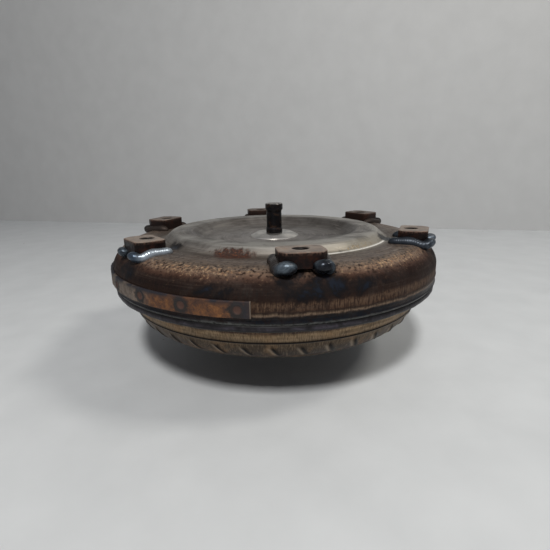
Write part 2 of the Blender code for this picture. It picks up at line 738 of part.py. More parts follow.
def impeller(material, core_material):
    """The lower shell with its blades, and their core ring."""
    skin = (RING_HALF_WIDTH, IMPELLER_DEPTH - WHEEL_PARTING / 2)
    inside = (skin[0] - SHELL_WALL, skin[1] - SHELL_WALL)
    share = (IMPELLER_CENTRE - FLANGE_LEVEL) / skin[1]
    outer_end = math.pi + oval_angle(share, RING_FULLNESS)
    share = (IMPELLER_CENTRE - FLANGE_LEVEL - SHELL_WALL) / inside[1]
    inner_end = math.pi + oval_angle(share, RING_FULLNESS)
    edge = NECK_FLANGE_RADIUS + GAP
    outer = shell_flare()
    marked = len(outer) + 1
    outer += ring_line(IMPELLER_CENTRE, skin, math.radians(-10), MARKS_FROM_ANGLE, 1)
    outer += ring_line(IMPELLER_CENTRE, skin, MARKS_TO_ANGLE, outer_end - 2 * math.pi, 4)
    outer.append((edge, FLANGE_LEVEL))
    rim = shell_flare()[0]
    inner = [
        (rim[0] - SHELL_WALL, rim[1]),
        (FLARE_FOOT_RADIUS - SHELL_WALL, COVER_EDGE - FLARE_DEPTH / 2),
        *reversed(ring_line(IMPELLER_CENTRE, inside, inner_end, 2 * math.pi, BLADE_ROWS)),
        (edge, FLANGE_LEVEL + SHELL_WALL),
    ]
    crown = crown_line(IMPELLER_CENTRE, -1)
    mesh = bladed_shell(outer, inner, crown, 2, IMPELLER_BLADES, IMPELLER_SWEEP, marked)
    shell = placed("impeller_shell", mesh, material)
    core_ring("impeller_core_ring", IMPELLER_CENTRE, -1, core_material)
    return shell


def impeller_hub(material):
    """The neck that drives the oil pump, with its flange welded into the shell."""
    top = NECK_TOP
    low = top - NECK_FLANGE_THICKNESS
    outline = [
        (NECK_BORE_RADIUS, 0.0),
        (NECK_RADIUS - NECK_CHAMFER, 0.0),
        (NECK_RADIUS, NECK_CHAMFER),
        (NECK_RADIUS, low - NECK_FILLET),
        (NECK_RADIUS + NECK_FILLET, low),
        (NECK_FLANGE_RADIUS, low),
        (NECK_FLANGE_RADIUS, top),
        (NECK_BORE_RADIUS, top),
    ]
    hub = placed("impeller_hub", spun(outline, SMALL_SIDES), material)
    half = NECK_SLOT_WIDTH / 2
    reach = NECK_RADIUS + CUT_PAST
    slot = [(-reach, -half), (reach, -half), (reach, half), (-reach, half)]
    cut(hub, prism(slot, -CUT_PAST, NECK_SLOT_DEPTH), "neck_slots")


def turbine(finishes, body):
    """The driven wheel: shell with blades, core ring, splined hub, rivets and seal ring."""
    skin = (RING_HALF_WIDTH - SHELL_WALL - TURBINE_RADIAL_GAP, TURBINE_DEPTH - WHEEL_PARTING / 2)
    inside = (skin[0] - TURBINE_WALL, skin[1] - TURBINE_WALL)
    level = TURBINE_FLANGE_LEVEL
    outer_end = math.pi - oval_angle((level + TURBINE_WALL - TURBINE_CENTRE) / skin[1], RING_FULLNESS)
    inner_end = math.pi - oval_angle((level - TURBINE_CENTRE) / inside[1], RING_FULLNESS)
    edge = TURBINE_STEP_RADIUS + 2 * GAP
    outer = ring_line(TURBINE_CENTRE, skin, 0, outer_end, 5)
    outer.append((edge, level + TURBINE_WALL))
    inner = ring_line(TURBINE_CENTRE, inside, 0, inner_end, BLADE_ROWS)
    inner.append((edge, level))
    crown = crown_line(TURBINE_CENTRE, 1)
    mesh = bladed_shell(outer, inner, crown, 0, TURBINE_BLADES, TURBINE_SWEEP)
    shell = placed("turbine_shell", mesh, finishes["sheet"], body)
    core_ring("turbine_core_ring", TURBINE_CENTRE, 1, finishes["sheet"], body)
    bottom = level
    flange = level + TURBINE_WALL + GAP
    top = TURBINE_HUB_TOP
    seal_top = PISTON_INNER_LEVEL + PISTON_THICKNESS
    groove = TURBINE_HUB_RADIUS - SEAL_GROOVE_DEPTH
    hub_outline = [
        (TURBINE_BORE_RADIUS - SPLINE_DEPTH, bottom),
        (TURBINE_STEP_RADIUS, bottom),
        (TURBINE_STEP_RADIUS, flange),
        (TURBINE_FLANGE_RADIUS, flange),
        (TURBINE_FLANGE_RADIUS, flange + TURBINE_FLANGE_THICKNESS),
        (TURBINE_HUB_RADIUS, flange + TURBINE_FLANGE_THICKNESS),
        (TURBINE_HUB_RADIUS, seal_top - SEAL_WIDTH),
        (groove, seal_top - SEAL_WIDTH),
        (groove, seal_top),
        (TURBINE_HUB_RADIUS, seal_top),
        (TURBINE_HUB_RADIUS, top),
        (TURBINE_BORE_RADIUS - SPLINE_DEPTH, top),
    ]
    hub = placed("turbine_hub", spun(hub_outline, SMALL_SIDES), finishes["machined"], body)
    teeth = toothed(TURBINE_BORE_RADIUS - SPLINE_DEPTH / 2, SPLINE_DEPTH, SPLINE_TEETH)
    cut(hub, prism(teeth, bottom - CUT_PAST, top + CUT_PAST), "turbine_spline")
    seal = [
        (groove + GAP, seal_top - SEAL_WIDTH + GAP),
        (TURBINE_HUB_RADIUS + GAP / 2, seal_top - SEAL_WIDTH + GAP),
        (TURBINE_HUB_RADIUS + GAP / 2, seal_top - GAP),
        (groove + GAP, seal_top - GAP),
    ]
    placed("hub_seal_ring", spun(seal, SMALL_SIDES), finishes["seal"], body)
    turbine_rivets(hub, shell, finishes["rivet"], body)


def turbine_rivets(hub, shell, material, body):
    """Rivets through the hub's flange and the turbine shell, each a head, shank and head."""
    low = TURBINE_FLANGE_LEVEL
    high = low + TURBINE_WALL + GAP + TURBINE_FLANGE_THICKNESS
    holes = []
    for k in range(RIVET_COUNT):
        place = Matrix.Translation(polar(RIVET_CIRCLE_RADIUS, 2 * math.pi * k / RIVET_COUNT))
        outline = [
            (0.0, high + GAP + RIVET_HEAD_HEIGHT),
            (RIVET_HEAD_RADIUS * 0.6, high + GAP + RIVET_HEAD_HEIGHT),
            (RIVET_HEAD_RADIUS, high + GAP),
            (RIVET_RADIUS, high + GAP),
            (RIVET_RADIUS, low - GAP),
            (RIVET_HEAD_RADIUS, low - GAP),
            (RIVET_HEAD_RADIUS * 0.6, low - GAP - RIVET_HEAD_HEIGHT),
            (0.0, low - GAP - RIVET_HEAD_HEIGHT),
        ]
        placed(f"turbine_rivet_{k + 1}", moved(spun(outline, 6), place), material, body)
        bore = [
            (0.0, high + CUT_PAST),
            (RIVET_RADIUS + GAP, high + CUT_PAST),
            (RIVET_RADIUS + GAP, low - CUT_PAST),
            (0.0, low - CUT_PAST),
        ]
        holes.append(moved(spun(bore, 6), place))
    drill = placed("rivet_drill", merged(holes), None)
    drill.hide_render = True
    drill.display_type = "WIRE"
    for piece in (hub, shell):
        modifier = piece.modifiers.new("rivet_holes", "BOOLEAN")
        modifier.operation = "DIFFERENCE"
        modifier.solver = "EXACT"
        modifier.object = drill


def spring_angles():
    return [2 * math.pi * k / SPRING_COUNT for k in range(SPRING_COUNT)]


def coil_spring(middle, level):
    """An arc spring: wire carried along a helix whose own axis is an arc about Z."""
    round_points, sides = 6, 4
    span = SPRING_SPAN - 2 * SPRING_SEAT_GAP - 2 * SPRING_WIRE_RADIUS / SPRING_CIRCLE_RADIUS
    count = SPRING_TURNS * round_points
    rings = []
    for k in range(count + 1):
        along = middle + span * (k / count - 0.5)
        turn = 2 * math.pi * k / round_points
        outward = polar(1, along)
        up = Vector((0, 0, 1))
        arm = outward * math.cos(turn) + up * math.sin(turn)
        centre = polar(SPRING_CIRCLE_RADIUS, along, level) + arm * SPRING_COIL_RADIUS
        ahead = polar(1, along + math.pi / 2)
        ring = []
        for side in range(sides):
            phase = 2 * math.pi * (side + 0.5) / sides
            offset = arm * math.cos(phase) + ahead * math.sin(phase)
            ring.append(centre + offset * SPRING_WIRE_RADIUS)
        rings.append(ring)
    return tube(rings)


def damper(finishes, turbine_body, body):
    """The spring cage and springs, and the toothed ring that they push on the turbine."""
    reach = SPRING_COIL_RADIUS + SPRING_WIRE_RADIUS + RUNNING_GAP
    level = SPRING_LEVEL
    web = level + reach
    top = web + CAGE_WALL
    inner, outer = SPRING_CIRCLE_RADIUS - reach, SPRING_CIRCLE_RADIUS + reach
    section = [
        (inner - CAGE_WALL, top - CAGE_INNER_HEIGHT),
        (inner, top - CAGE_INNER_HEIGHT),
        (inner, web),
        (outer, web),
        (outer, top - CAGE_OUTER_HEIGHT),
        (outer + CAGE_WALL, top - CAGE_OUTER_HEIGHT),
        (outer + CAGE_WALL, web - CAGE_ROUND),
        (outer - CAGE_ROUND, top),
        (inner - CAGE_WALL, top),
    ]
    cage = placed("spring_cage", spun(section, DAMPER_SIDES), finishes["sheet"], body)
    half_stop = math.pi / SPRING_COUNT - SPRING_SPAN / 2
    between = [a + math.pi / SPRING_COUNT for a in spring_angles()]
    stop_low = level + RUNNING_GAP
    stop_top = web + JOIN_DEPTH
    stops = [
        sector(inner - STOP_LAP, outer + JOIN_DEPTH, a, half_stop, stop_low, stop_top, 5)
        for a in between
    ]
    joined(cage, merged(stops), "spring_stops")
    tab_top = PISTON_LEVEL + PISTON_THICKNESS
    tab_inner = PISTON_RADIUS - PISTON_NOTCH_DEPTH + RUNNING_GAP
    half_tab = DRIVE_TAB_WIDTH / 2 / PISTON_RADIUS
    tabs = [
        sector(tab_inner, PISTON_RADIUS, a, half_tab, stop_top, tab_top, 1) for a in between
    ]
    joined(cage, merged(tabs), "drive_tabs")
    for number, angle in enumerate(spring_angles(), 1):
        spring = coil_spring(angle, level)
        placed(f"damper_spring_{number}", spring, finishes["spring"], body)
    skin = (RING_HALF_WIDTH - SHELL_WALL - TURBINE_RADIAL_GAP, TURBINE_DEPTH - WHEEL_PARTING / 2)
    edges = [
        math.pi / 2 - oval_angle((radius - RING_MID_RADIUS) / skin[0], RING_FULLNESS)
        for radius in (inner - RUNNING_GAP, DRIVEN_RING_INNER_RADIUS)
    ]
    seat = [(r, z + GAP) for r, z in ring_line(TURBINE_CENTRE, skin, *edges, 3)]
    thick = DRIVEN_RING_THICKNESS
    back = [(r + thick / 2, z + thick) for r, z in reversed(seat)]
    ring = placed(
        "damper_driven_ring", spun(seat + back, DAMPER_SIDES), finishes["sheet"], turbine_body
    )
    half_finger = half_stop - SPRING_SEAT_GAP
    root, low = seat[0]
    reach = outer - 3 * RUNNING_GAP
    fingers = [
        sector(root - JOIN_DEPTH, reach, a, half_finger, low + FINGER_SINK, level - RUNNING_GAP, 3)
        for a in between
    ]
    joined(ring, merged(fingers), "driven_fingers")


def lockup_piston(finishes, body):
    """The sliding plate, and the paper ring that grips the cover."""
    low, inner_low = PISTON_LEVEL, PISTON_INNER_LEVEL
    bore = TURBINE_HUB_RADIUS + RUNNING_GAP
    thick = PISTON_THICKNESS
    inner_bend = DISH_RADIUS - PISTON_INNER_BEND
    outer_bend = PLATEAU_INNER_RADIUS + PISTON_OUTER_BEND
    sleeve = inner_low + thick + PISTON_SLEEVE_HEIGHT
    outline = [
        (bore, inner_low),
        (inner_bend, inner_low),
        (outer_bend, low),
        (PISTON_RADIUS, low),
        (PISTON_RADIUS, low + thick),
        (outer_bend - thick / 6, low + thick),
        (inner_bend - thick / 6, inner_low + thick),
        (bore + PISTON_SLEEVE_WALL, inner_low + thick),
        (bore + PISTON_SLEEVE_WALL, sleeve),
        (bore, sleeve),
    ]
    piston = placed("lockup_piston", spun(outline, DAMPER_SIDES), finishes["sheet"], body)
    half_notch = DRIVE_TAB_WIDTH / 2 / PISTON_RADIUS + RUNNING_GAP / PISTON_RADIUS
    notches = [
        sector(
            PISTON_RADIUS - PISTON_NOTCH_DEPTH,
            PISTON_RADIUS + 2 * CUT_PAST,
            a + math.pi / SPRING_COUNT,
            half_notch,
            low - CUT_PAST,
            low + thick + CUT_PAST,
            1,
        )
        for a in spring_angles()
    ]
    cut(piston, merged(notches), "drive_notches")
    base = LINING_LEVEL
    lining = [
        (LINING_INNER_RADIUS, base),
        (LINING_OUTER_RADIUS, base),
        (LINING_OUTER_RADIUS, base + LINING_THICKNESS),
        (LINING_INNER_RADIUS, base + LINING_THICKNESS),
    ]
    placed("friction_lining", spun(lining, DAMPER_SIDES), finishes["lining"], body)


def stator_blade(angle, middle):
    """One aerofoil blade standing from the hub to the shroud, twisted as it rises."""
    inner = STATOR_HUB_RADIUS - 2 * JOIN_DEPTH
    outer = SHROUD_INNER_RADIUS + STATOR_SHROUD_THICKNESS / 2
    rings = []
    for radius, tilt in ((inner, 34), (outer, 24)):
        ring = []
        lean = math.radians(tilt)
        half = STATOR_HALF_LENGTH - JOIN_DEPTH
        shape = ((-1.0, 0.0), (-0.5, 0.5), (0.3, 0.4), (1.0, 0.0), (0.1, -0.16), (-0.6, -0.45))
        for along, across in shape:
            z = half * along
            sway = z * math.tan(lean) + across * STATOR_BLADE_THICKNESS
            ring.append(polar(radius, angle + sway / radius, middle + z))
        rings.append(ring)
    return tube(rings)


def stator(finishes, body, race_body):
    """The cast reactor wheel on its roller clutch."""
    middle, blade_middle = STATOR_MIDDLE, STATOR_BLADE_MIDDLE
    half_hub = INNER_RACE_LENGTH / 2 - GAP
    hub = [
        (STATOR_BORE_RADIUS, middle - half_hub),
        (STATOR_HUB_RADIUS, middle - half_hub),
        (STATOR_HUB_RADIUS, middle + half_hub),
        (STATOR_BORE_RADIUS, middle + half_hub),
    ]
    wheel = placed("stator_wheel", spun(hub, STATOR_BLADES * 3), finishes["cast"], body)
    low, high = blade_middle - STATOR_HALF_LENGTH, blade_middle + STATOR_HALF_LENGTH
    shroud = [
        (SHROUD_INNER_RADIUS, low),
        (SHROUD_OUTER_RADIUS, low),
        (SHROUD_OUTER_RADIUS, high),
        (SHROUD_INNER_RADIUS, high),
    ]
    pitch = 2 * math.pi / STATOR_BLADES
    blades = [stator_blade(pitch * k, blade_middle) for k in range(STATOR_BLADES)]
    joined(wheel, merged(blades), "stator_blades")
    joined(wheel, spun(shroud, STATOR_BLADES * 2), "stator_shroud")
    race_outer = STATOR_BORE_RADIUS - GAP
    race = [
        (OUTER_RACE_BORE_RADIUS, middle - half_hub),
        (race_outer, middle - half_hub),
        (race_outer, middle + half_hub),
        (OUTER_RACE_BORE_RADIUS, middle + half_hub),
    ]
    outer_race = placed("clutch_outer_race", spun(race, SMALL_SIDES), finishes["bearing"], body)
    pockets = []
    pitch = 2 * math.pi / ROLLER_COUNT
    inside = OUTER_RACE_BORE_RADIUS - 2 * CUT_PAST
    for k in range(ROLLER_COUNT):
        angle = pitch * k
        shallow = ROLLER_CIRCLE_RADIUS + ROLLER_RADIUS + GAP * 2
        deep = shallow + CAM_DEPTH
        outline = [
            polar(inside, angle - pitch * 0.13)[:2],
            polar(shallow, angle - pitch * 0.13)[:2],
            polar(deep, angle + pitch * 0.14)[:2],
            polar(deep, angle + pitch * 0.30)[:2],
            polar(inside, angle + pitch * 0.30)[:2],
        ]
        pockets.append(prism(outline, middle - half_hub - CUT_PAST, middle + half_hub + CUT_PAST))
        length = half_hub - RUNNING_GAP
        roller = [
            (0.0, middle + length),
            (ROLLER_RADIUS, middle + length),
            (ROLLER_RADIUS, middle - length),
            (0.0, middle - length),
        ]
        place = Matrix.Translation(polar(ROLLER_CIRCLE_RADIUS, angle))
        solid = moved(spun(roller, 8), place)
        placed(f"clutch_roller_{k + 1}", solid, finishes["bearing"], body)
    cut(outer_race, merged(pockets), "cam_pockets")
    inner = [
        (INNER_RACE_BORE_RADIUS - SPLINE_DEPTH, middle - INNER_RACE_LENGTH / 2),
        (INNER_RACE_RADIUS, middle - INNER_RACE_LENGTH / 2),
        (INNER_RACE_RADIUS, middle + INNER_RACE_LENGTH / 2),
        (INNER_RACE_BORE_RADIUS - SPLINE_DEPTH, middle + INNER_RACE_LENGTH / 2),
    ]
    inner_race = placed("clutch_inner_race", spun(inner, SMALL_SIDES), finishes["machined"], race_body)
    teeth = toothed(INNER_RACE_BORE_RADIUS - SPLINE_DEPTH / 2, SPLINE_DEPTH, SPLINE_TEETH)
    cut(inner_race, prism(teeth, middle - INNER_RACE_LENGTH, middle + INNER_RACE_LENGTH), "race_spline")
    for name, low in (
        ("stator_lower_plate", middle - half_hub - GAP - SIDE_PLATE_THICKNESS),
        ("stator_upper_plate", middle + half_hub + GAP),
    ):
        plate = [
            (INNER_RACE_RADIUS + RUNNING_GAP, low),
            (STATOR_BORE_RADIUS + SIDE_PLATE_LAP, low),
            (STATOR_BORE_RADIUS + SIDE_PLATE_LAP, low + SIDE_PLATE_THICKNESS),
            (INNER_RACE_RADIUS + RUNNING_GAP, low + SIDE_PLATE_THICKNESS),
        ]
        placed(name, spun(plate, SMALL_SIDES), finishes["machined"], body)


def needle_cage(name, level, material, body):
    """A flat cage and its needles as one rolling set: the needles stand out as radial crests."""
    mesh = bmesh.new()
    pitch = 2 * math.pi / NEEDLE_COUNT
    columns = []
    for needle in range(NEEDLE_COUNT):
        for side, half in ((-0.2, CAGE_PLATE_THICKNESS / 2), (0, NEEDLE_RADIUS), (0.2, None)):
            half = half or CAGE_PLATE_THICKNESS / 2
            angle = pitch * (needle + side)
            columns.append(
                [
                    mesh.verts.new(polar(radius, angle, level + height))
                    for radius, height in (
                        (BEARING_INNER_RADIUS, -half),
                        (BEARING_OUTER_RADIUS, -half),
                        (BEARING_OUTER_RADIUS, half),
                        (BEARING_INNER_RADIUS, half),
                    )
                ]
            )
    for a, b in zip(columns, columns[1:] + columns[:1]):
        for k in range(4):
            n = (k + 1) % 4
            mesh.faces.new((a[k], a[n], b[n], b[k]))
    placed(name, mesh, material, body)


def washer(name, inner, outer, low, thickness, material, body=None):
    outline = [(inner, low), (outer, low), (outer, low + thickness), (inner, low + thickness)]
    return placed(name, spun(outline, SMALL_SIDES), material, body)


def body_empty(name, parent=None):
    """The carrier of a moving group, on the spin axis."""
    made = bpy.data.objects.new(name, None)
    made.empty_display_size = 0.02
    bpy.context.scene.collection.objects.link(made)
    made.parent = parent
    return made


def main():
    for old in list(bpy.data.objects):
        bpy.data.objects.remove(old)
    finishes = {
        "cover": finish("oily_rusted_steel", (0.30, 0.22, 0.16), 0.45, 0.6),
        "turned": finish("turned_steel", (0.62, 0.60, 0.57), 0.30, 1.0),
        "pin": finish("dark_pin_steel", (0.12, 0.10, 0.09), 0.40, 0.8),
        "lug": finish("lug_steel", (0.25, 0.17, 0.12), 0.50, 0.6),
        "weld": finish("blued_weld", (0.13, 0.14, 0.17), 0.30, 0.9),
        "strip": finish("rusted_strip", (0.55, 0.28, 0.12), 0.70, 0.2),
        "shell": finish("tanned_shell_steel", (0.36, 0.29, 0.23), 0.45, 0.6),
        "machined": finish("ground_steel", (0.60, 0.60, 0.60), 0.25, 1.0),
        "sheet": finish("pressed_sheet_steel", (0.45, 0.46, 0.48), 0.40, 0.9),
        "cast": finish("cast_aluminium", (0.70, 0.71, 0.72), 0.45, 0.9),
        "bearing": finish("bearing_steel", (0.66, 0.67, 0.69), 0.18, 1.0),
        "spring": finish("spring_steel", (0.20, 0.22, 0.28), 0.30, 0.9),
        "rivet": finish("rivet_steel", (0.50, 0.50, 0.50), 0.35, 0.9),
        "seal": finish("seal_polymer", (0.10, 0.09, 0.08), 0.55, 0.0),
        "lining": finish("friction_paper", (0.28, 0.20, 0.12), 0.90, 0.0),
    }
    turbine_body = body_empty("turbine_axis")
    damper_body = body_empty("damper_axis", turbine_body)
    piston_body = body_empty("lockup_axis", damper_body)
    stator_body = body_empty("stator_axis")
    race_body = body_empty("inner_race_axis")
    lower_cage_body = body_empty("lower_bearing_axis")
    upper_cage_body = body_empty("upper_bearing_axis")

    front_cover(finishes["cover"])
    pilot(finishes["turned"], finishes["pin"])
    drive_lugs(finishes["lug"])
    balance_strip(finishes["strip"])
    closing_weld(finishes["weld"])
    impeller(finishes["shell"], finishes["sheet"])
    impeller_hub(finishes["machined"])
    turbine(finishes, turbine_body)
    damper(finishes, turbine_body, damper_body)
    lockup_piston(finishes, piston_body)
    stator(finishes, stator_body, race_body)

    low = LOWER_BEARING_LEVEL
    inner, outer = BEARING_INNER_RADIUS, BEARING_OUTER_RADIUS
    washer("lower_bearing_race", inner, outer, low, RACE_THICKNESS, finishes["bearing"])
    level = low + RACE_THICKNESS + GAP + NEEDLE_RADIUS
    needle_cage("lower_needle_cage", level, finishes["bearing"], lower_cage_body)
    level = UPPER_BEARING_LEVEL + GAP + NEEDLE_RADIUS
    needle_cage("upper_needle_cage", level, finishes["bearing"], upper_cage_body)
    low = TURBINE_FLANGE_LEVEL - GAP - RACE_THICKNESS
    washer("upper_bearing_race", inner, outer, low, RACE_THICKNESS, finishes["bearing"], turbine_body)
    low = TURBINE_HUB_TOP + GAP
    washer(
        "front_thrust_washer",
        TURBINE_HUB_RADIUS - THRUST_WASHER_WIDTH,
        TURBINE_HUB_RADIUS,
        low,
        THRUST_WASHER_THICKNESS,
        finishes["seal"],
        turbine_body,
    )


main()
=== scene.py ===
"""The torque converter's looks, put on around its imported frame.

Lengths are metres in the frame's own axes: +Z up the spin axis, -Y towards the camera.
"""

import json
import math

import bmesh
import bpy
import numpy as np
from mathutils import Matrix, Vector


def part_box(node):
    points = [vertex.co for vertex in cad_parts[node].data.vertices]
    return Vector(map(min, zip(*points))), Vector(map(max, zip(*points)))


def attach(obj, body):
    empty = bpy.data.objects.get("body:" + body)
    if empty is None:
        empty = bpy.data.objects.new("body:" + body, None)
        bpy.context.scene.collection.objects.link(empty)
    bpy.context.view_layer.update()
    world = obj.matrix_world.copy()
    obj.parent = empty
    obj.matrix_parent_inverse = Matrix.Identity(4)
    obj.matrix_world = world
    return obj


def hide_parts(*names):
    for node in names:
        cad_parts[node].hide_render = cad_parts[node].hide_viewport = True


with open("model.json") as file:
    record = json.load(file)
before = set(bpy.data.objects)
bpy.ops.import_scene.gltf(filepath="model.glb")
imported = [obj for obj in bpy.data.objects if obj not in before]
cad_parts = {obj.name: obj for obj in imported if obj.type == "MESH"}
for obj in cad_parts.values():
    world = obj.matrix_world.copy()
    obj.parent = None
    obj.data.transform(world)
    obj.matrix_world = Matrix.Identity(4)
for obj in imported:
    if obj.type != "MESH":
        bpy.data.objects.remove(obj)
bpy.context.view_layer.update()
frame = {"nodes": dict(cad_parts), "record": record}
scene = bpy.context.scene


# The room: a pale table top and a light wall behind it, under soft light from above and in
# front. The camera stands close, a little over the lugs, as the photograph's does: its place,
# pitch and lens were found from the places of the six lugs.

CAMERA_PLACE = (0.0, -0.3306, 0.1534)
CAMERA_PITCH = math.radians(15.5)
CAMERA_ROLL = math.radians(-0.89)
CAMERA_LENS_SHARE = 390 / 550
TABLE_HALF = 2.2
WALL_PLACE = 0.723
WALL_TURN = math.radians(-13.3)
LAMP_AIM = (0, 0, 0.05)
AIR_LIGHT, AIR_SEEN = 0.10, 0.52


def linear(code):
    """Linear RGBA of an sRGB hex colour: c / 12.92 near black, else ((c + 0.055) / 1.055) ** 2.4."""
    shares = [int(code[k:k + 2], 16) / 255 for k in (1, 3, 5)]
    return (*[c / 12.92 if c <= 0.04045 else ((c + 0.055) / 1.055) ** 2.4 for c in shares], 1.0)


def add(tree, kind, inputs=None, stops=None, **settings):
    """One shader node: settings as named, and stops for a colour ramp.

    An input is a value, a hex colour, a socket, or a node, which stands for its first output.
    """
    made = tree.nodes.new("ShaderNode" + kind)
    for key, value in settings.items():
        setattr(made, key, value)
    for key, value in (inputs or {}).items():
        if isinstance(value, bpy.types.Node):
            value = value.outputs[0]
        if isinstance(value, bpy.types.NodeSocket):
            tree.links.new(value, made.inputs[key])
        else:
            made.inputs[key].default_value = linear(value) if isinstance(value, str) else value
    if stops:
        ramp = made.color_ramp
        while len(ramp.elements) < len(stops):
            ramp.elements.new(0.5)
        for element, (place, colour) in zip(ramp.elements, stops):
            element.position = place
            element.color = linear(colour) if isinstance(colour, str) else (colour, colour, colour, 1)
    return made


def finish(name, metallic, roughness, specular=0.5):
    """A material, the tree to put its pattern in, and the place in the object's axes that patterns read."""
    made = bpy.data.materials.new(name)
    made.use_nodes = True
    tree = made.node_tree
    for key, value in (("Metallic", metallic), ("Roughness", roughness), ("Specular IOR Level", specular)):
        tree.nodes["Principled BSDF"].inputs[key].default_value = value
    return made, tree, add(tree, "TexCoord").outputs["Object"]


def finished(made, base, layers=(), **ends):
    """The material: layers laid over the base colour, and the other ends joined to the shader.

    A layer is its share, its tone and, where it is held to a part of the surface, that part's share.
    """
    tree, colour = made.node_tree, base.outputs[0]
    shader = tree.nodes["Principled BSDF"]
    for share, tone, *part in layers:
        for held in part:
            share = add(tree, "Math", {0: share, 1: held}, operation="MULTIPLY")
        colour = add(tree, "Mix", {0: share, 6: colour, 7: tone}, data_type="RGBA").outputs[2]
    tree.links.new(colour, shader.inputs["Base Color"])
    for key, end in ends.items():
        tree.links.new(end.outputs[0], shader.inputs[key])
    return made


def painted_board(name, colour, grain, dirt):
    """Matt emulsion or melamine: even colour with faint smudges of about 40 mm, and crumbs of about 1 mm."""
    made, tree, place = finish(name, 0.0, 0.62)
    smudge = add(tree, "TexNoise", {"Vector": place, "Scale": 25.0, "Detail": 5.0})
    tone = add(tree, "ValToRGB", {0: smudge}, stops=((0.3, colour), (0.7, grain)))
    crumbs = add(tree, "TexVoronoi", {"Vector": place, "Scale": 17.0}, feature="F1")
    crumb = add(tree, "MapRange", {0: crumbs, 1: 0.030, 2: 0.020, 4: dirt})
    return finished(made, tone, [(crumb, "#55555A")])


def flat_stage(name, corners, material):
    """One flat face of the room, which is no part of the object."""
    mesh = bpy.data.meshes.new(name)
    mesh.from_pydata(corners, [], [(0, 1, 2, 3)])
    mesh.materials.append(material)
    made = bpy.data.objects.new(name, mesh)
    scene.collection.objects.link(made)


wide = TABLE_HALF
table = [(-wide, -wide, 0), (wide, -wide, 0), (wide, wide, 0), (-wide, wide, 0)]
flat_stage("table_top", table, painted_board("pale_melamine", "#D0D3D6", "#C9CCCF", 0.7))
tilt = math.tan(WALL_TURN) * wide
left, right = (-wide, WALL_PLACE - tilt), (wide, WALL_PLACE + tilt)
wall = [(*left, 0), (*right, 0), (*right, wide), (*left, wide)]
flat_stage("back_wall", wall, painted_board("wall_paint", "#C4C5C6", "#BFC0C1", 0.0))

camera = bpy.data.objects.new("camera", bpy.data.cameras.new("camera"))
scene.collection.objects.link(camera)
camera.data.lens = CAMERA_LENS_SHARE * camera.data.sensor_width
camera.matrix_world = (
    Matrix.Translation(CAMERA_PLACE)
    @ Matrix.Rotation(math.pi / 2 - CAMERA_PITCH, 4, "X")
    @ Matrix.Rotation(CAMERA_ROLL, 4, "Z")
)
scene.camera = camera


def soft_lamp(name, place, size, watts, colour):
    """A square area lamp that faces the object."""
    lamp = bpy.data.lights.new(name, "AREA")
    lamp.size = size
    lamp.energy = watts
    lamp.color = linear(colour)[:3]
    made = bpy.data.objects.new(name, lamp)
    made.location = place
    made.rotation_euler = (Vector(LAMP_AIM) - Vector(place)).to_track_quat("-Z", "Y").to_euler()
    scene.collection.objects.link(made)


soft_lamp("front_lamp", (-0.08, -0.93, 1.25), 0.20, 16.2, "#FFFDF9")
soft_lamp("right_lamp", (0.92, -0.25, 1.25), 0.30, 6.5, "#FFFBF2")
world = bpy.data.worlds.new("room_air")
world.use_nodes = True
air = world.node_tree
air.nodes["Background"].inputs["Color"].default_value = linear("#F2F4FA")
rays = add(air, "LightPath")
camera_ray, glossy, clear = (rays.outputs[f"Is {kind} Ray"] for kind in ("Camera", "Glossy", "Transmission"))
seen = add(air, "Math", {0: camera_ray, 1: glossy}, operation="MAXIMUM")
seen = add(air, "Math", {0: seen, 1: clear}, operation="MAXIMUM")
bright = add(air, "MapRange", {0: seen, 3: AIR_LIGHT, 4: AIR_SEEN})
air.links.new(bright.outputs[0], air.nodes["Background"].inputs["Strength"])
scene.world = world
scene.view_settings.view_transform = "Standard"


# The front cover: one deep-drawn steel shell about 4 mm thick, with a sunk middle, a raised
# ring round it, a flat shoulder for the lugs and a straight wall. It has aged to brown under
# oil film, is blued where it was welded, and flash rust sits on its round corner.

WALL = 0.0038
cover_low, cover_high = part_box("front_cover")
LUG_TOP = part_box("drive_lug_1")[1].z
COVER_RADIUS = cover_high.x
COVER_EDGE = cover_low.z
PLATEAU = cover_high.z
SHOULDER = PLATEAU - 0.0060
SHOULDER_START = 0.0912
DISH_FLOOR = PLATEAU - 0.0077
BORE = 0.0165
CORNER_DEEP = 0.0160
CORNER_REACH = 0.0180
CORNER_ROUND = 2 / 1.8
CORNER_FOOT = COVER_RADIUS - CORNER_REACH
CORNER_LOW = SHOULDER - CORNER_DEEP
SKIN_SPACING = 0.0016
SHARP_FROM = math.radians(38)
SAME_PLACE = 2e-6


def angles(count):
    """Even angles round a whole turn, as a column."""
    return np.linspace(0, 2 * math.pi, count, endpoint=False)[:, None]


def lengths(line):
    """How far along a profile each of its points lies."""
    return np.r_[0, np.cumsum(np.linalg.norm(np.diff(line, axis=0), axis=1))]


def carried(radius, angle, height):
    """A grid of points at a distance from the axis, an angle round it and a height."""
    return np.stack(np.broadcast_arrays(radius * np.cos(angle), radius * np.sin(angle), height), -1)


def swung(x, y, z, turn):
    """A grid of points made on the +X side, swung round the axis to a piece's own place."""
    c, s = math.cos(turn), math.sin(turn)
    return np.stack([x * c - y * s, x * s + y * c, z], -1)


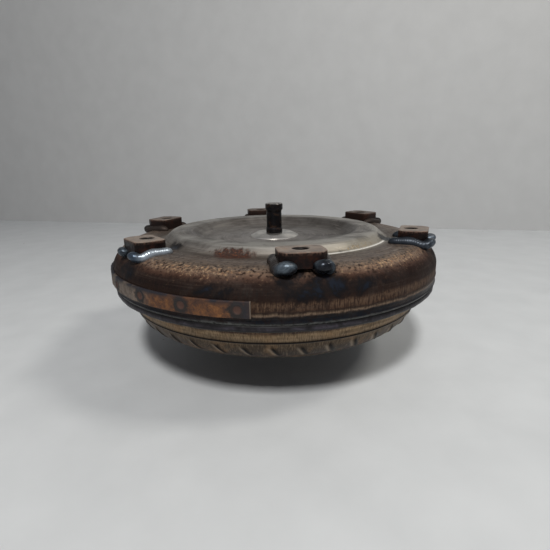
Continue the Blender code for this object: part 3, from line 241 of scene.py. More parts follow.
def filleted(corners, fineness=6):
    """A profile through (radius, height, fillet) corners.

    Each corner gives way to the arc that touches both its sides: its centre lies on the
    bisector, at the fillet over the sine of the half angle.
    """
    corners = np.array(corners, float)
    points = [corners[:1, :2]]
    share = np.linspace(0, 1, fineness + 1)[:, None]
    for before, here, after in zip(corners[:-2], corners[1:-1], corners[2:]):
        back = (before - here)[:2] / np.linalg.norm((before - here)[:2])
        ahead = (after - here)[:2] / np.linalg.norm((after - here)[:2])
        half = math.acos(np.clip(back @ ahead, -1, 1)) / 2
        if here[2] == 0 or half > math.radians(89):
            points.append(here[None, :2])
            continue
        centre = here[:2] + (back + ahead) / np.linalg.norm(back + ahead) * here[2] / math.sin(half)
        start = here[:2] + back * here[2] / math.tan(half) - centre
        end = here[:2] + ahead * here[2] / math.tan(half) - centre
        turn = math.pi - 2 * half
        arc = np.sin((1 - share) * turn) * start + np.sin(share * turn) * end
        points.append(centre + arc / math.sin(turn))
    points.append(corners[-1:, :2])
    return np.vstack(points)


def divided(line, spacing):
    """The same profile, with points added so that none lie further apart than the spacing."""
    length = lengths(line)
    even = np.linspace(0, length[-1], int(length[-1] / spacing) + 2)
    at = np.unique(np.round(np.r_[length, even], 6))
    at = at[np.r_[True, np.diff(at) > spacing * 0.15]]
    return np.c_[np.interp(at, length, line[:, 0]), np.interp(at, length, line[:, 1])]


def rounded_corner(reach, drop, count):
    """A quarter of a rounded oval: cos and sin, each to the power 2 / 1.8, times its half axes."""
    angle = np.linspace(math.pi / 2, 0, count)
    across = np.maximum(np.cos(angle), 0) ** CORNER_ROUND
    along = np.maximum(np.sin(angle), 0) ** CORNER_ROUND
    return np.c_[CORNER_FOOT + reach * across, CORNER_LOW + drop * along]


def put(name, grid, wrap, marks=None):
    """A mesh of a grid of points, with a quad between each four neighbours.

    A wrapped way joins its last row to its first. Points that share a place are merged, holes
    at the poles are shut and the faces turned out. Marks are values kept per point.
    """
    grid = np.asarray(grid, float)
    rows, columns = grid.shape[:2]
    index = np.arange(rows * columns).reshape(rows, columns)
    index = np.vstack([index, index[:1]]) if wrap[0] else index
    index = np.hstack([index, index[:, :1]]) if wrap[1] else index
    corners = (index[:-1, :-1], index[1:, :-1], index[1:, 1:], index[:-1, 1:])
    quads = np.stack(corners, -1).reshape(-1, 4)
    mesh = bpy.data.meshes.new(name)
    mesh.vertices.add(rows * columns)
    mesh.vertices.foreach_set("co", grid.reshape(-1).astype(np.float32))
    mesh.loops.add(quads.size)
    mesh.loops.foreach_set("vertex_index", quads.reshape(-1).astype(np.int32))
    mesh.polygons.add(len(quads))
    mesh.polygons.foreach_set("loop_start", np.arange(0, quads.size, 4, dtype=np.int32))
    for key, values in (marks or {}).items():
        spread = np.broadcast_to(values, (rows, columns)).astype(np.float32)
        mesh.attributes.new(key, "FLOAT", "POINT").data.foreach_set("value", spread.reshape(-1))
    mesh.update(calc_edges=True)
    work = bmesh.new()
    work.from_mesh(mesh)
    bmesh.ops.remove_doubles(work, verts=work.verts, dist=SAME_PLACE)
    open_edges = [edge for edge in work.edges if edge.is_boundary]
    if open_edges:
        bmesh.ops.holes_fill(work, edges=open_edges, sides=0)
    bmesh.ops.recalc_face_normals(work, faces=work.faces)
    work.to_mesh(mesh)
    work.free()
    mesh.shade_smooth()
    mesh.set_sharp_from_angle(angle=SHARP_FROM)
    made = bpy.data.objects.new(name, mesh)
    scene.collection.objects.link(made)
    return made


def turned(name, line, sides, marks=None, relief=None):
    """A profile of (radius, height) points turned about Z; relief moves points out along its normal."""
    around = angles(sides)
    ahead = np.roll(line, -1, 0) - np.roll(line, 1, 0)
    out = np.c_[ahead[:, 1], -ahead[:, 0]] / np.maximum(np.linalg.norm(ahead, axis=1), 1e-9)[:, None]
    lift = relief(around, line) if relief else np.zeros((sides, len(line)))
    grid = carried(line[:, 0] + lift * out[:, 0], around, line[:, 1] + lift * out[:, 1])
    return put(name, grid, (True, True), marks)


outside = np.vstack([
    filleted([
        (BORE, DISH_FLOOR, 0),
        (0.0580, DISH_FLOOR, 0.009),
        (0.0686, PLATEAU - 0.0002, 0.006),
        (0.0843, PLATEAU, 0.005),
        (SHOULDER_START, SHOULDER, 0.005),
        (CORNER_FOOT - 0.0005, SHOULDER, 0),
    ]),
    rounded_corner(CORNER_REACH, CORNER_DEEP, 22),
    filleted([
        (COVER_RADIUS, CORNER_LOW - 0.001, 0),
        (COVER_RADIUS, COVER_EDGE + 0.0083, 0.0006),
        (COVER_RADIUS + 0.0005, COVER_EDGE + 0.0070, 0.0008),
        (COVER_RADIUS - 0.0002, COVER_EDGE + 0.0056, 0.0008),
        (COVER_RADIUS - 0.0002, COVER_EDGE + 0.0030, 0.0008),
        (COVER_RADIUS + 0.0004, COVER_EDGE + 0.0014, 0.0009),
        (COVER_RADIUS - 0.0012, COVER_EDGE, 0),
    ]),
])
inside = np.vstack([
    [(COVER_RADIUS - WALL, COVER_EDGE)],
    rounded_corner(CORNER_REACH - WALL, CORNER_DEEP - WALL, 12)[::-1],
    filleted([
        (CORNER_FOOT - 0.0005, SHOULDER - WALL, 0),
        (0.0893, SHOULDER - WALL, 0.004),
        (0.0824, PLATEAU - WALL, 0.004),
        (0.0705, PLATEAU - WALL, 0.004),
        (0.0599, DISH_FLOOR - WALL, 0.006),
        (BORE, DISH_FLOOR - WALL, 0),
    ]),
])
cover_line = np.vstack([divided(outside, SKIN_SPACING), divided(inside, 0.004)])


def round_map(tree, place, level):
    """A place as its direction from the axis and a level: a pattern in it runs round the axis or down it."""
    flat = add(tree, "VectorMath", {0: place, 1: (1, 1, 0)}, operation="MULTIPLY")
    toward = add(tree, "VectorMath", {0: flat}, operation="NORMALIZE")
    rise = add(tree, "CombineXYZ", {2: level})
    return add(tree, "VectorMath", {0: toward, 1: rise}, operation="ADD")


LUG_ANGLES = [math.radians(-90 + 7.8 + 60 * k) for k in range(6)]
BLUED_OUTSIDE = (0.75, 0.6, 0.6, 0.5, 0.6, 0.65)
BLUED_INSIDE = (0.1, 0.8, 0.4, 0.3, 0.5, 0.95)
# the patch at this angle is a painted highlight, on steel that is also smoother there
HIGHLIGHT_POLISH_ANGLE = math.radians(-48)
RUST_ANGLE = math.radians(-107.5)
SOOT_ANGLE = math.radians(-104)
PITTED_ANGLES = [math.radians(degrees) for degrees in (-114, -50, 15, 100)]


def patch(away, across, reach, width):
    """1 in a patch's middle, falling off as an exponential of the oval distance to the power 2.8."""
    return np.exp(-((away / reach) ** 2 + (across / width) ** 2) ** 1.4)


def cover_marks(line, sides):
    """How far along the profile each point is, how blued, rusty and pitted, and how far inside the patch of
    painted highlight and polish, as numbers.

    A patch's place is its length along the profile from the bore, and its arc round the axis.
    """
    length = lengths(line)[None, :]
    skin = length[0, len(divided(outside, SKIN_SPACING)) - 1]
    around = angles(sides)

    def arc(angle):
        return ((around - angle + math.pi) % (2 * math.pi) - math.pi) * line[None, :, 0]

    blued = 0.85 * patch(length - 0.1200, arc(LUG_ANGLES[0]) - 0.014, 0.0078, 0.038)
    blued = np.maximum(blued, 0.62 * patch(length - 0.1210, arc(SOOT_ANGLE), 0.0060, 0.0190))
    for angle, outer, inner in zip(LUG_ANGLES, BLUED_OUTSIDE, BLUED_INSIDE):
        blued = np.maximum(blued, outer * patch(length - 0.1130, arc(angle), 0.0130, 0.0215))
        blued = np.maximum(blued, inner * patch(length - 0.0805, arc(angle), 0.0075, 0.0090))
    pits = sum(patch(length - 0.1075, arc(angle), 0.0060, 0.050) for angle in PITTED_ANGLES)
    return {
        "along": np.minimum(length / skin, 1.0),
        "blued": blued * (length < skin),
        "polish_and_highlight": patch(length - 0.0765, arc(HIGHLIGHT_POLISH_ANGLE), 0.0060, 0.038),
        "rust": patch(length - 0.0785, arc(RUST_ANGLE), 0.0080, 0.0170),
        "pits": pits * (length < skin),
    }


def aged_cover_steel():
    """Low-carbon drawn steel under oil film: soft reflections, brown bands, rust specks, blued at the welds.

    The bands follow the profile. The specks are pits of about 1 mm, the smoke is wiped oil of
    about 30 mm, the wipes are lines 1 to 2 mm apart, and the wall has run marks of about 2 mm.
    """
    made, tree, place = finish("aged_cover_steel", 0.5, 0.42, 0.12)
    along, blued, polish_and_highlight, rust, pits = (
        add(tree, "Attribute", attribute_name=key).outputs["Fac"]
        for key in ("along", "blued", "polish_and_highlight", "rust", "pits")
    )
    cloud = add(tree, "TexNoise", {"Vector": place, "Scale": 55.0, "Detail": 8.0, "Roughness": 0.62})
    grain = add(tree, "TexNoise", {"Vector": place, "Scale": 900.0, "Detail": 4.0, "Roughness": 0.7})
    fleck = add(tree, "TexNoise", {"Vector": place, "Scale": 480.0, "Detail": 3.0, "Roughness": 0.6})
    round_place = round_map(tree, place, along)
    drift = add(tree, "Math", {0: cloud, 1: 0.036, 2: -0.018}, operation="MULTIPLY_ADD")
    band = add(tree, "Math", {0: along, 1: drift}, operation="ADD")
    # the pale stop at 0.950 is a painted highlight on the small ridge low on the wall
    bands = add(tree, "ValToRGB", {0: band}, stops=(
        (0.00, "#8A8683"), (0.28, "#7A7672"), (0.37, "#6A6662"), (0.42, "#94918C"), (0.50, "#9C9993"),
        (0.545, "#7C766F"), (0.575, "#484039"), (0.64, "#5A4F47"), (0.735, "#695B50"), (0.775, "#735D4E"),
        (0.800, "#4A352B"), (0.825, "#231612"), (0.860, "#100A09"), (0.890, "#261A15"), (0.908, "#614C3C"),
        (0.932, "#4A382C"), (0.939, "#16110F"), (0.950, "#85705E"), (0.958, "#101318"), (0.984, "#161B22"),
        (0.992, "#6A6C6A"),
    ))
    # the middle is darker towards its right: painted shade; over it dark smoke of wiped oil, and thin wipe
    # lines round the axis
    sideways = add(tree, "SeparateXYZ", {0: place})
    painted_right_shade = add(tree, "MapRange", {0: sideways, 1: -0.02, 2: 0.06, 4: 0.55})
    in_middle = add(tree, "MapRange", {0: along, 1: 0.42, 2: 0.36})
    swirl = {"Vector": place, "Scale": 26.0, "Detail": 8.0, "Roughness": 0.6, "Distortion": 1.6}
    smoke = add(tree, "MapRange", {0: add(tree, "TexNoise", swirl), 1: 0.46, 2: 0.66})
    on_middle = add(tree, "MapRange", {0: along, 1: 0.50, 2: 0.60, 3: 0.75, 4: 0.35})
    wipe_place = add(tree, "Mapping", {0: round_place, 3: (2.2, 2.2, 75.0)})
    wipes = add(tree, "TexNoise", {"Vector": wipe_place, "Scale": 1.0, "Detail": 4.0, "Distortion": 0.8})
    wipe = add(tree, "MapRange", {0: wipes, 1: 0.50, 2: 0.72, 4: 0.42})
    pale = add(tree, "MapRange", {0: wipes, 1: 0.46, 2: 0.30, 4: 0.40})
    on_top = add(tree, "MapRange", {0: along, 1: 0.80, 2: 0.74})
    # the raised ring's outer side on the right: a painted highlight where the steel is also smoother, with a
    # painted highlight line at its foot
    painted_highlight = add(tree, "Math", {0: polish_and_highlight, 1: 0.6}, operation="MULTIPLY")
    foot = add(tree, "ValToRGB", {0: along}, stops=((0.556, 0.0), (0.562, 1.0), (0.566, 1.0), (0.572, 0.0)))
    rubbed = add(tree, "MapRange", {0: polish_and_highlight, 1: 0.05, 2: 0.35})
    # flash rust on the corner: pale crusts, dark pits and scale, flakes, and gold specks that are painted
    # glints in the painted highlight
    crust = add(tree, "Math", {0: pits, 1: -0.22, 2: 0.69}, operation="MULTIPLY_ADD")
    crust = add(tree, "MapRange", {0: fleck, 1: crust, 2: 0.70})
    crust = add(tree, "Math", {0: crust, 1: pits}, operation="MULTIPLY", use_clamp=True)
    crust_tones = (0.36, "#7E4A2C"), (0.50, "#A88868"), (0.62, "#C4B090")
    crust_tone = add(tree, "ValToRGB", {0: grain}, stops=crust_tones)
    on_shoulder = add(tree, "ValToRGB", {0: band}, stops=(
        (0.57, 0.0), (0.64, 0.5), (0.76, 0.9), (0.82, 0.3), (0.90, 0.0),
    ))
    pitted = add(tree, "MapRange", {0: fleck, 1: 0.43, 2: 0.35})
    painted_gold_glints = add(tree, "Math", {0: grain, 1: polish_and_highlight}, operation="MULTIPLY")
    painted_gold_glints = add(tree, "MapRange", {0: painted_gold_glints, 1: 0.52, 2: 0.60, 4: 0.8})
    scale = add(tree, "ValToRGB", {0: fleck}, stops=((0.36, 0.65), (0.48, 0.0)))
    off_middle = add(tree, "MapRange", {0: along, 1: 0.56, 2: 0.60})
    flake = add(tree, "MapRange", {0: fleck, 1: 0.60, 2: 0.68, 4: 0.35})
    # the rust patch: ragged, with drips down the profile and orange where it is thin
    drip_place = add(tree, "Mapping", {0: round_place, 3: (34.0, 34.0, 40.0)})
    drips = add(tree, "TexNoise", {"Vector": drip_place, "Scale": 1.0, "Detail": 5.0, "Roughness": 0.6})
    ragged = add(tree, "Math", {0: drips, 1: 1.5, 2: -0.75}, operation="MULTIPLY_ADD")
    ragged = add(tree, "Math", {0: rust, 1: ragged}, operation="ADD")
    scab = add(tree, "MapRange", {0: ragged, 1: 0.38, 2: 0.80, 4: 0.9})
    scab_tones = (0.36, "#20110D"), (0.54, "#3A2018"), (0.70, "#7A4224")
    scab_tone = add(tree, "ValToRGB", {0: grain}, stops=scab_tones)
    # run marks down the wall
    run_place = add(tree, "Mapping", {0: round_place, 3: (170.0, 170.0, 22.0)})
    runs = add(tree, "TexNoise", {"Vector": run_place, "Scale": 1.0, "Detail": 4.0})
    on_wall = add(tree, "ValToRGB", {0: along}, stops=((0.80, 0.0), (0.87, 0.8), (0.93, 0.8), (0.96, 0.25)))
    run = add(tree, "MapRange", {0: runs, 1: 0.44, 2: 0.60})
    # heat tint by the lugs' welds: blue-black, brown at its rim
    smut = {"Vector": place, "Scale": 75.0, "Detail": 8.0, "Roughness": 0.68, "Distortion": 0.5}
    glow = add(tree, "Math", {0: add(tree, "TexNoise", smut), 1: 2.8, 2: -1.4}, operation="MULTIPLY_ADD")
    glow = add(tree, "Math", {0: blued, 1: glow}, operation="ADD")
    tint = add(tree, "MapRange", {0: glow, 1: 0.25, 2: 0.70, 4: 0.92})
    tint_tone = add(tree, "ValToRGB", {0: glow}, stops=(
        (0.25, "#33251E"), (0.50, "#181110"), (0.80, "#0D0C0F"), (1.00, "#121924"),
    ))
    layers = (
        (painted_right_shade, "#35322F", in_middle), (smoke, "#3B3532", on_middle), (wipe, "#463C36"),
        (pale, "#98918A", on_top), (painted_highlight, "#B2AB9C"), (foot, "#F2EFE8", rubbed), (crust, crust_tone),
        (pitted, "#2A1A14", on_shoulder), (painted_gold_glints, "#A88850"), (scale, "#1C120E", off_middle),
        (flake, "#A08468", on_shoulder), (scab, scab_tone), (run, "#241713", on_wall), (tint, tint_tone),
    )
    metal = add(tree, "ValToRGB", {0: band}, stops=(
        (0.50, 0.75), (0.60, 0.45), (0.78, 0.35), (0.82, 0.08), (0.94, 0.15), (0.97, 0.6),
    ))
    metal = add(tree, "Math", {0: scab, 1: -0.5, 2: metal}, operation="MULTIPLY_ADD", use_clamp=True)
    rough = add(tree, "MapRange", {0: cloud, 1: 0.3, 2: 0.7, 3: 0.34, 4: 0.56})
    dull = add(tree, "ValToRGB", {0: band}, stops=((0.76, 0.0), (0.82, 0.35), (0.93, 0.2), (0.96, 0.0)))
    rough = add(tree, "Math", {0: rough, 1: dull}, operation="ADD")
    rough = add(tree, "Math", {0: crust, 1: 0.2, 2: rough}, operation="MULTIPLY_ADD")
    rough = add(tree, "Math", {0: polish_and_highlight, 1: -0.12, 2: rough}, operation="MULTIPLY_ADD")
    relief = add(tree, "Math", {0: crust, 1: 0.6, 2: grain}, operation="MULTIPLY_ADD")
    relief = add(tree, "Math", {0: wipes, 1: 0.5, 2: relief}, operation="MULTIPLY_ADD")
    bump = add(tree, "Bump", {"Height": relief, "Strength": 0.4, "Distance": 0.0003})
    return finished(made, bands, layers, Metallic=metal, Roughness=rough, Normal=bump)


COVER_SIDES = 384
cover = turned("drawn_cover", cover_line, COVER_SIDES, cover_marks(cover_line, COVER_SIDES))
cover.data.materials.append(aged_cover_steel())
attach(cover, "housing")
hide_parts("front_cover")


# The pilot: a turned disc welded into the middle of the cover, with a bright chamfered rim,
# and a short spigot pressed into it that centres the converter in the crankshaft.

PILOT_TOP = DISH_FLOOR + 0.0031
TOOL_RINGS = 0.00025
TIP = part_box("pilot_pin")[1].z
DISC_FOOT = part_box("pilot_disc")[0].z


def turned_steel():
    """Bare steel straight off the lathe, satin, with tool rings 0.25 mm apart and a little brown in them."""
    made, tree, place = finish("turned_steel", 1.0, 0.34)
    cloud = add(tree, "TexNoise", {"Vector": place, "Scale": 120.0, "Detail": 5.0})
    tone = add(tree, "ValToRGB", {0: cloud}, stops=((0.35, "#A8A5A1"), (0.62, "#D0CCC6")))
    flat = add(tree, "VectorMath", {0: place, 1: (1, 1, 0)}, operation="MULTIPLY")
    radius = add(tree, "VectorMath", {0: flat}, operation="LENGTH").outputs["Value"]
    ring = add(tree, "Math", {0: radius, 1: 2 * math.pi / TOOL_RINGS}, operation="MULTIPLY")
    wave = add(tree, "Math", {0: ring}, operation="SINE")
    bump = add(tree, "Bump", {"Height": wave, "Strength": 0.25, "Distance": 0.00002})
    return finished(made, tone, Normal=bump)


def oiled_pin_steel():
    """Hardened pin, black with oil, brown bands where it has rubbed, and a pale worn tip."""
    made, tree, place = finish("oiled_pin_steel", 0.7, 0.32)
    height = add(tree, "SeparateXYZ", {0: place}).outputs[2]
    cloud = add(tree, "TexNoise", {"Vector": place, "Scale": 260.0, "Detail": 6.0, "Distortion": 0.6})
    tone = add(tree, "ValToRGB", {0: cloud}, stops=((0.38, "#0A0A0E"), (0.54, "#141012"), (0.68, "#3A291E")))
    speckle = add(tree, "TexNoise", {"Vector": place, "Scale": 900.0, "Detail": 3.0})
    on_tip = add(tree, "MapRange", {0: height, 1: TIP - 0.0008, 2: TIP - 0.0002})
    worn = add(tree, "MapRange", {0: speckle, 1: 0.44, 2: 0.60})
    bump = add(tree, "Bump", {"Height": cloud, "Strength": 0.3, "Distance": 0.0002})
    return finished(made, tone, [(worn, "#A8A4A0", on_tip)], Normal=bump)


disc_line = filleted([
    (0.0, PILOT_TOP - 0.0002, 0),
    (0.0078, PILOT_TOP - 0.0002, 0.0003),
    (0.0082, PILOT_TOP, 0.0003),
    (0.0153, PILOT_TOP, 0.0005),
    (0.0205, DISH_FLOOR + 0.0004, 0.0006),
    (0.0205, DISH_FLOOR - 0.0003, 0),
    (0.0162, DISH_FLOOR - 0.0003, 0),
    (0.0162, DISH_FLOOR - WALL, 0),
    (0.0260, DISH_FLOOR - WALL, 0.0004),
    (0.0260, DISC_FOOT, 0.0004),
    (0.0, DISC_FOOT, 0),
])
disc = turned("pilot_disc_turned", divided(disc_line, 0.002), 160)
disc.data.materials.append(turned_steel())
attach(disc, "housing")
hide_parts("pilot_disc")

pin_line = filleted([
    (0.0, TIP, 0),
    (0.0073, TIP, 0.0011),
    (0.0073, TIP - 0.0052, 0.0006),
    (0.00615, TIP - 0.0060, 0.0005),
    (0.00615, TIP - 0.0072, 0.0005),
    (0.00635, TIP - 0.0076, 0.0005),
    (0.00635, PILOT_TOP + 0.0042, 0.0012),
    (0.0069, PILOT_TOP + 0.0030, 0.0012),
    (0.0069, PILOT_TOP + 0.0001, 0.0003),
    (0.0062, PILOT_TOP - 0.0002, 0),
    (0.0050, PILOT_TOP - 0.0002, 0),
    (0.0, PILOT_TOP - 0.0002, 0),
])
pin = turned("pilot_spigot", divided(pin_line, 0.0015), 96)
pin.data.materials.append(oiled_pin_steel())
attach(pin, "housing")
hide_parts("pilot_pin")


# The six drive lugs: sawn steel pads with clipped corners and a tapped M10 hole, each laid on
# the flat shoulder and welded down both sides. A pad's outer edge juts over the round corner.

LUG_INNER = 0.1018
LUG_OUTER = 0.1224
LUG_WIDTH = 0.0286
LUG_CIRCLE = 0.1100
LUG_CLIP = 0.0028
LUG_FOOT = SHOULDER - 0.0002
HOLE = 0.0044
MOUTH = HOLE + 0.0011
PITCH = 0.0015
THREAD_LENGTH = 0.0086
THREAD_DEPTH = 0.00055
EDGE_POWER = 60.0


def skin_height(radius):
    """The cover's outer skin at a radius, read from its profile between shoulder and wall."""
    line = outside[(outside[:, 0] > SHOULDER_START) & (outside[:, 1] > CORNER_LOW - 0.0005)]
    return np.interp(radius, line[:, 0], line[:, 1])


def pad_edge(angle, sides):
    """The pad's rounded outline from its centre: a soft maximum of the reach to each flat side.

    Each side stands at its own bearing and distance; cos(angle - bearing) / distance, raised
    to a power, summed and rooted, gives one over the edge's distance.
    """
    reach = sum((np.maximum(np.cos(angle - way), 0) * 0.01 / far) ** EDGE_POWER for way, far in sides)
    return 0.01 * reach ** (-1 / EDGE_POWER)


def lug_pad(name, turn):
    """Rings round the hole: up the thread, over the countersink and top, down the sides, across the foot.

    Each ring also says how near the pad's top edge it lies, and how far from the hole's middle.
    """
    around = angles(180)
    half_deep, half_wide = (LUG_OUTER - LUG_INNER) / 2, LUG_WIDTH / 2
    middle = (LUG_OUTER + LUG_INNER) / 2
    shift = LUG_CIRCLE - middle
    clip = math.hypot(half_deep, half_wide) - LUG_CLIP
    lean = math.atan2(half_wide, half_deep)
    sides = [(0, half_deep), (math.pi, half_deep), (math.pi / 2, half_wide), (-math.pi / 2, half_wide)]
    sides += [(s * lean, clip) for s in (-1, 1)] + [(math.pi - s * lean, clip + 0.001) for s in (-1, 1)]
    edge = pad_edge(around, sides)
    edge_x, edge_y = edge * np.cos(around), edge * np.sin(around)
    depth = np.linspace(THREAD_LENGTH, 0, 70)
    wave = np.abs(((depth / PITCH + around / (2 * math.pi)) % 1) - 0.5) * 2
    thread = HOLE + 0.0001 + THREAD_DEPTH * wave
    rings = []

    def between(share, hole, z):
        x = (1 - share) * (shift + hole * np.cos(around)) + share * edge_x
        rings.append((x, (1 - share) * hole * np.sin(around) + share * edge_y, z, 0.0))

    for k, low in enumerate(depth):
        between(0.0, np.maximum(thread[:, k:k + 1], MOUTH - low), LUG_TOP - low)
    for share, low in ((0.06, 0.0), (0.16, 0.0), (0.30, 0.00012), (0.60, 0.00008), (0.85, 0.0)):
        between(share, MOUTH, LUG_TOP - low)
    rounded = (0.0008, 0.0, 0.5), (0.0004, 0.00010, 1.0), (0.0001, 0.00035, 1.0), (0.0, 0.0008, 0.8)
    for inset, low, rim in rounded:
        far = 1 - inset / edge
        rings.append((far * edge_x, far * edge_y, LUG_TOP - low, rim))
    for share in np.linspace(0.15, 1, 6):
        between(1.0, HOLE, (1 - share) * (LUG_TOP - 0.0010) + share * LUG_FOOT)
    for share in (0.5, 0.0):
        between(share, HOLE, LUG_FOOT)
    x, y, z, rim = (np.hstack([ring[k] + 0 * around for ring in rings]) for k in range(4))
    marks = {"rim": rim, "off": np.hypot(x - shift, y)}
    return put(name, swung(x + middle, y, z, turn), (True, True), marks)


def rusted_lug_steel():
    """Sawn and case-darkened steel: near black red-brown, with a dusty top and bright edges; painted shade
    darkens the far lugs and the inside of the tapped hole.
    """
    made, tree, place = finish("rusted_lug_steel", 0.15, 0.5, 0.15)
    parts = add(tree, "SeparateXYZ", {0: place}).outputs
    rim, off = (add(tree, "Attribute", attribute_name=key).outputs["Fac"] for key in ("rim", "off"))
    cloud = add(tree, "TexNoise", {"Vector": place, "Scale": 160.0, "Detail": 8.0, "Roughness": 0.65})
    fine = add(tree, "TexNoise", {"Vector": place, "Scale": 700.0, "Detail": 4.0})
    dark = add(tree, "ValToRGB", {0: cloud}, stops=((0.34, "#080404"), (0.52, "#140A09"), (0.70, "#30180F")))
    dusty = add(tree, "ValToRGB", {0: cloud}, stops=(
        (0.30, "#443B36"), (0.44, "#70645C"), (0.58, "#8E8278"), (0.72, "#7E6656"),
    ))
    on_top = add(tree, "MapRange", {0: parts[2], 1: LUG_TOP - 0.0006, 2: LUG_TOP - 0.0002})
    faced = add(tree, "MapRange", {0: off, 1: 0.0086, 2: 0.0076, 4: 0.5})
    rubbed = add(tree, "MapRange", {0: fine, 1: 0.40, 2: 0.62, 4: 0.7})
    # painted shade: darker towards the far side, away from the camera
    painted_far_shade = add(tree, "MapRange", {0: parts[1], 1: 0.0, 2: 0.06, 4: 0.65})
    # painted shade inside the tapped hole
    painted_hole_shade = add(tree, "MapRange", {0: off, 1: 0.0050, 2: 0.0046})
    layers = (
        (on_top, dusty), (faced, "#7C736C", on_top), (rubbed, "#6E5448", rim), (painted_far_shade, "#2A1E1A"),
        (painted_hole_shade, "#0B0808"),
    )
    rough = add(tree, "MapRange", {0: cloud, 1: 0.35, 2: 0.65, 3: 0.32, 4: 0.62})
    bump = add(tree, "Bump", {"Height": fine, "Strength": 0.4, "Distance": 0.0003})
    return finished(made, dark, layers, Roughness=rough, Normal=bump)


lug_finish = rusted_lug_steel()
for number, angle in enumerate(LUG_ANGLES, 1):
    pad = lug_pad(f"lug_pad_{number}", angle)
    pad.data.materials.append(lug_finish)
    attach(pad, "housing")
    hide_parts(f"drive_lug_{number}")


# The lug welds: a thick fillet bead down each side of every pad, laid by hand, which turns in
# round the outer corner and ends in a ball. They are blue-black and glossy, with fine ripples
# where the pool froze; one was brushed bright.

BEAD_STARTS = (0.0985, 0.0955, 0.0985, 0.0980, 0.0985, 0.0985)
BEAD_SIZES = (1.0, 0.92, 0.85, 0.85, 0.85, 0.82)
BEAD_STRAIGHT_END = 0.1174
BEAD_TURN = 0.0050
BALL_HALF = (0.0058, 0.0048)
BALL_LEVEL = SHOULDER + 0.0006
BEAD_ROOT = 0.0012
BEAD_HALF = (0.0041, 0.0045)
BEAD_RIPPLE = 0.0015
BEAD_OPENING = 0.0075
BEAD_GAP = 0.0004
BEAD_LEAN = ((0.110, 0.1245), (0.0, 0.45))


def bead(name, turn, side, start, size, seed):
    """Ovals along a path beside the pad: straight out, round a quarter circle, across its outer face.

    Each oval stands square to the path. Its half width is the fourth root of the sum of the
    fourth powers of a level bead, closed at its start by a square root, and of a ball at the
    end of the quarter circle. Ripples are a sine along the path, curved back by the oval.
    No point lies deeper in the cover's wall than the root.
    """
    around = angles(40).T
    straight = BEAD_STRAIGHT_END - start
    ball_at = straight + BEAD_TURN * math.pi / 2 - BEAD_GAP
    length = (ball_at + BALL_HALF[0] * size) * np.sin(np.linspace(0, math.pi / 2, 120))[:, None]
    swing = np.clip((length - straight) / BEAD_TURN, 0, math.pi / 2)
    past = np.maximum(length - straight - BEAD_TURN * math.pi / 2, 0)
    x = start + np.minimum(length, straight) + BEAD_TURN * np.sin(swing)
    wander = 0.0002 * np.sin(200 * length + seed)
    y = LUG_WIDTH / 2 + BEAD_GAP - BEAD_TURN * (1 - np.cos(swing)) - past + wander * np.cos(swing)
    opened = np.clip(length / BEAD_OPENING, 0, 1)
    level = np.sqrt(1 - (1 - opened) ** 2) * np.clip((ball_at + 0.002 - length) / 0.005, 0, 1)
    ball = np.sqrt(np.maximum(1 - ((length - ball_at) / BALL_HALF[0] / size) ** 2, 0))
    swell = 1 + 0.07 * np.sin(420 * length + 2 * seed)
    across, up = (
        size * ((flat * level * swell) ** 4 + (round_half * ball) ** 4) ** 0.25
        for flat, round_half in zip(BEAD_HALF, BALL_HALF)
    )
    ripple = 1 + 0.015 * np.sin(2 * math.pi * (length / BEAD_RIPPLE + 0.55 * np.cos(around) ** 2)) * level
    near = np.clip((length - ball_at + 0.0080) / 0.0065, 0, 1)
    near = near * near * (3 - 2 * near)
    middle = (1 - near) * (skin_height(np.hypot(x, y)) + 0.0006) + near * (BALL_LEVEL - 0.006 * (1 - size))
    lean = np.interp(x, *BEAD_LEAN)
    beside, reach = across * np.cos(around) * ripple, up * np.sin(around) * ripple
    x = x + beside * np.sin(swing) + reach * np.sin(lean)
    y = side * (y + beside * np.cos(swing))
    z = np.maximum(middle + reach * np.cos(lean), skin_height(np.hypot(x, y)) - BEAD_ROOT)
    return put(name, swung(x, y, z, turn), (False, True), {"near": near})


def weld_metal(name, tones, smooth, rough_side, side_tone):
    """Weld metal as it cooled: glossy oxide in tones that drift over some 8 mm, with fine scale of 2 mm.

    Away from the ball a bead is dull, and browned like the plate.
    """
    made, tree, place = finish(name, 0.7, 0.3)
    near = add(tree, "Attribute", attribute_name="near").outputs["Fac"]
    cloud = add(tree, "TexNoise", {"Vector": place, "Scale": 130.0, "Detail": 6.0, "Distortion": 0.8})
    tone = add(tree, "ValToRGB", {0: cloud}, stops=tuple(zip((0.32, 0.45, 0.55, 0.64, 0.74), tones)))
    dull = add(tree, "MapRange", {0: near, 1: 0.9, 2: 0.1, 4: 0.9})
    rough = add(tree, "MapRange", {0: cloud, 1: 0.35, 2: 0.65, 3: smooth, 4: rough_side})
    fine = add(tree, "TexNoise", {"Vector": place, "Scale": 500.0, "Detail": 3.0})
    bump = add(tree, "Bump", {"Height": fine, "Strength": 0.3, "Distance": 0.0002})
    return finished(made, tone, [(dull, side_tone)], Roughness=rough, Normal=bump)


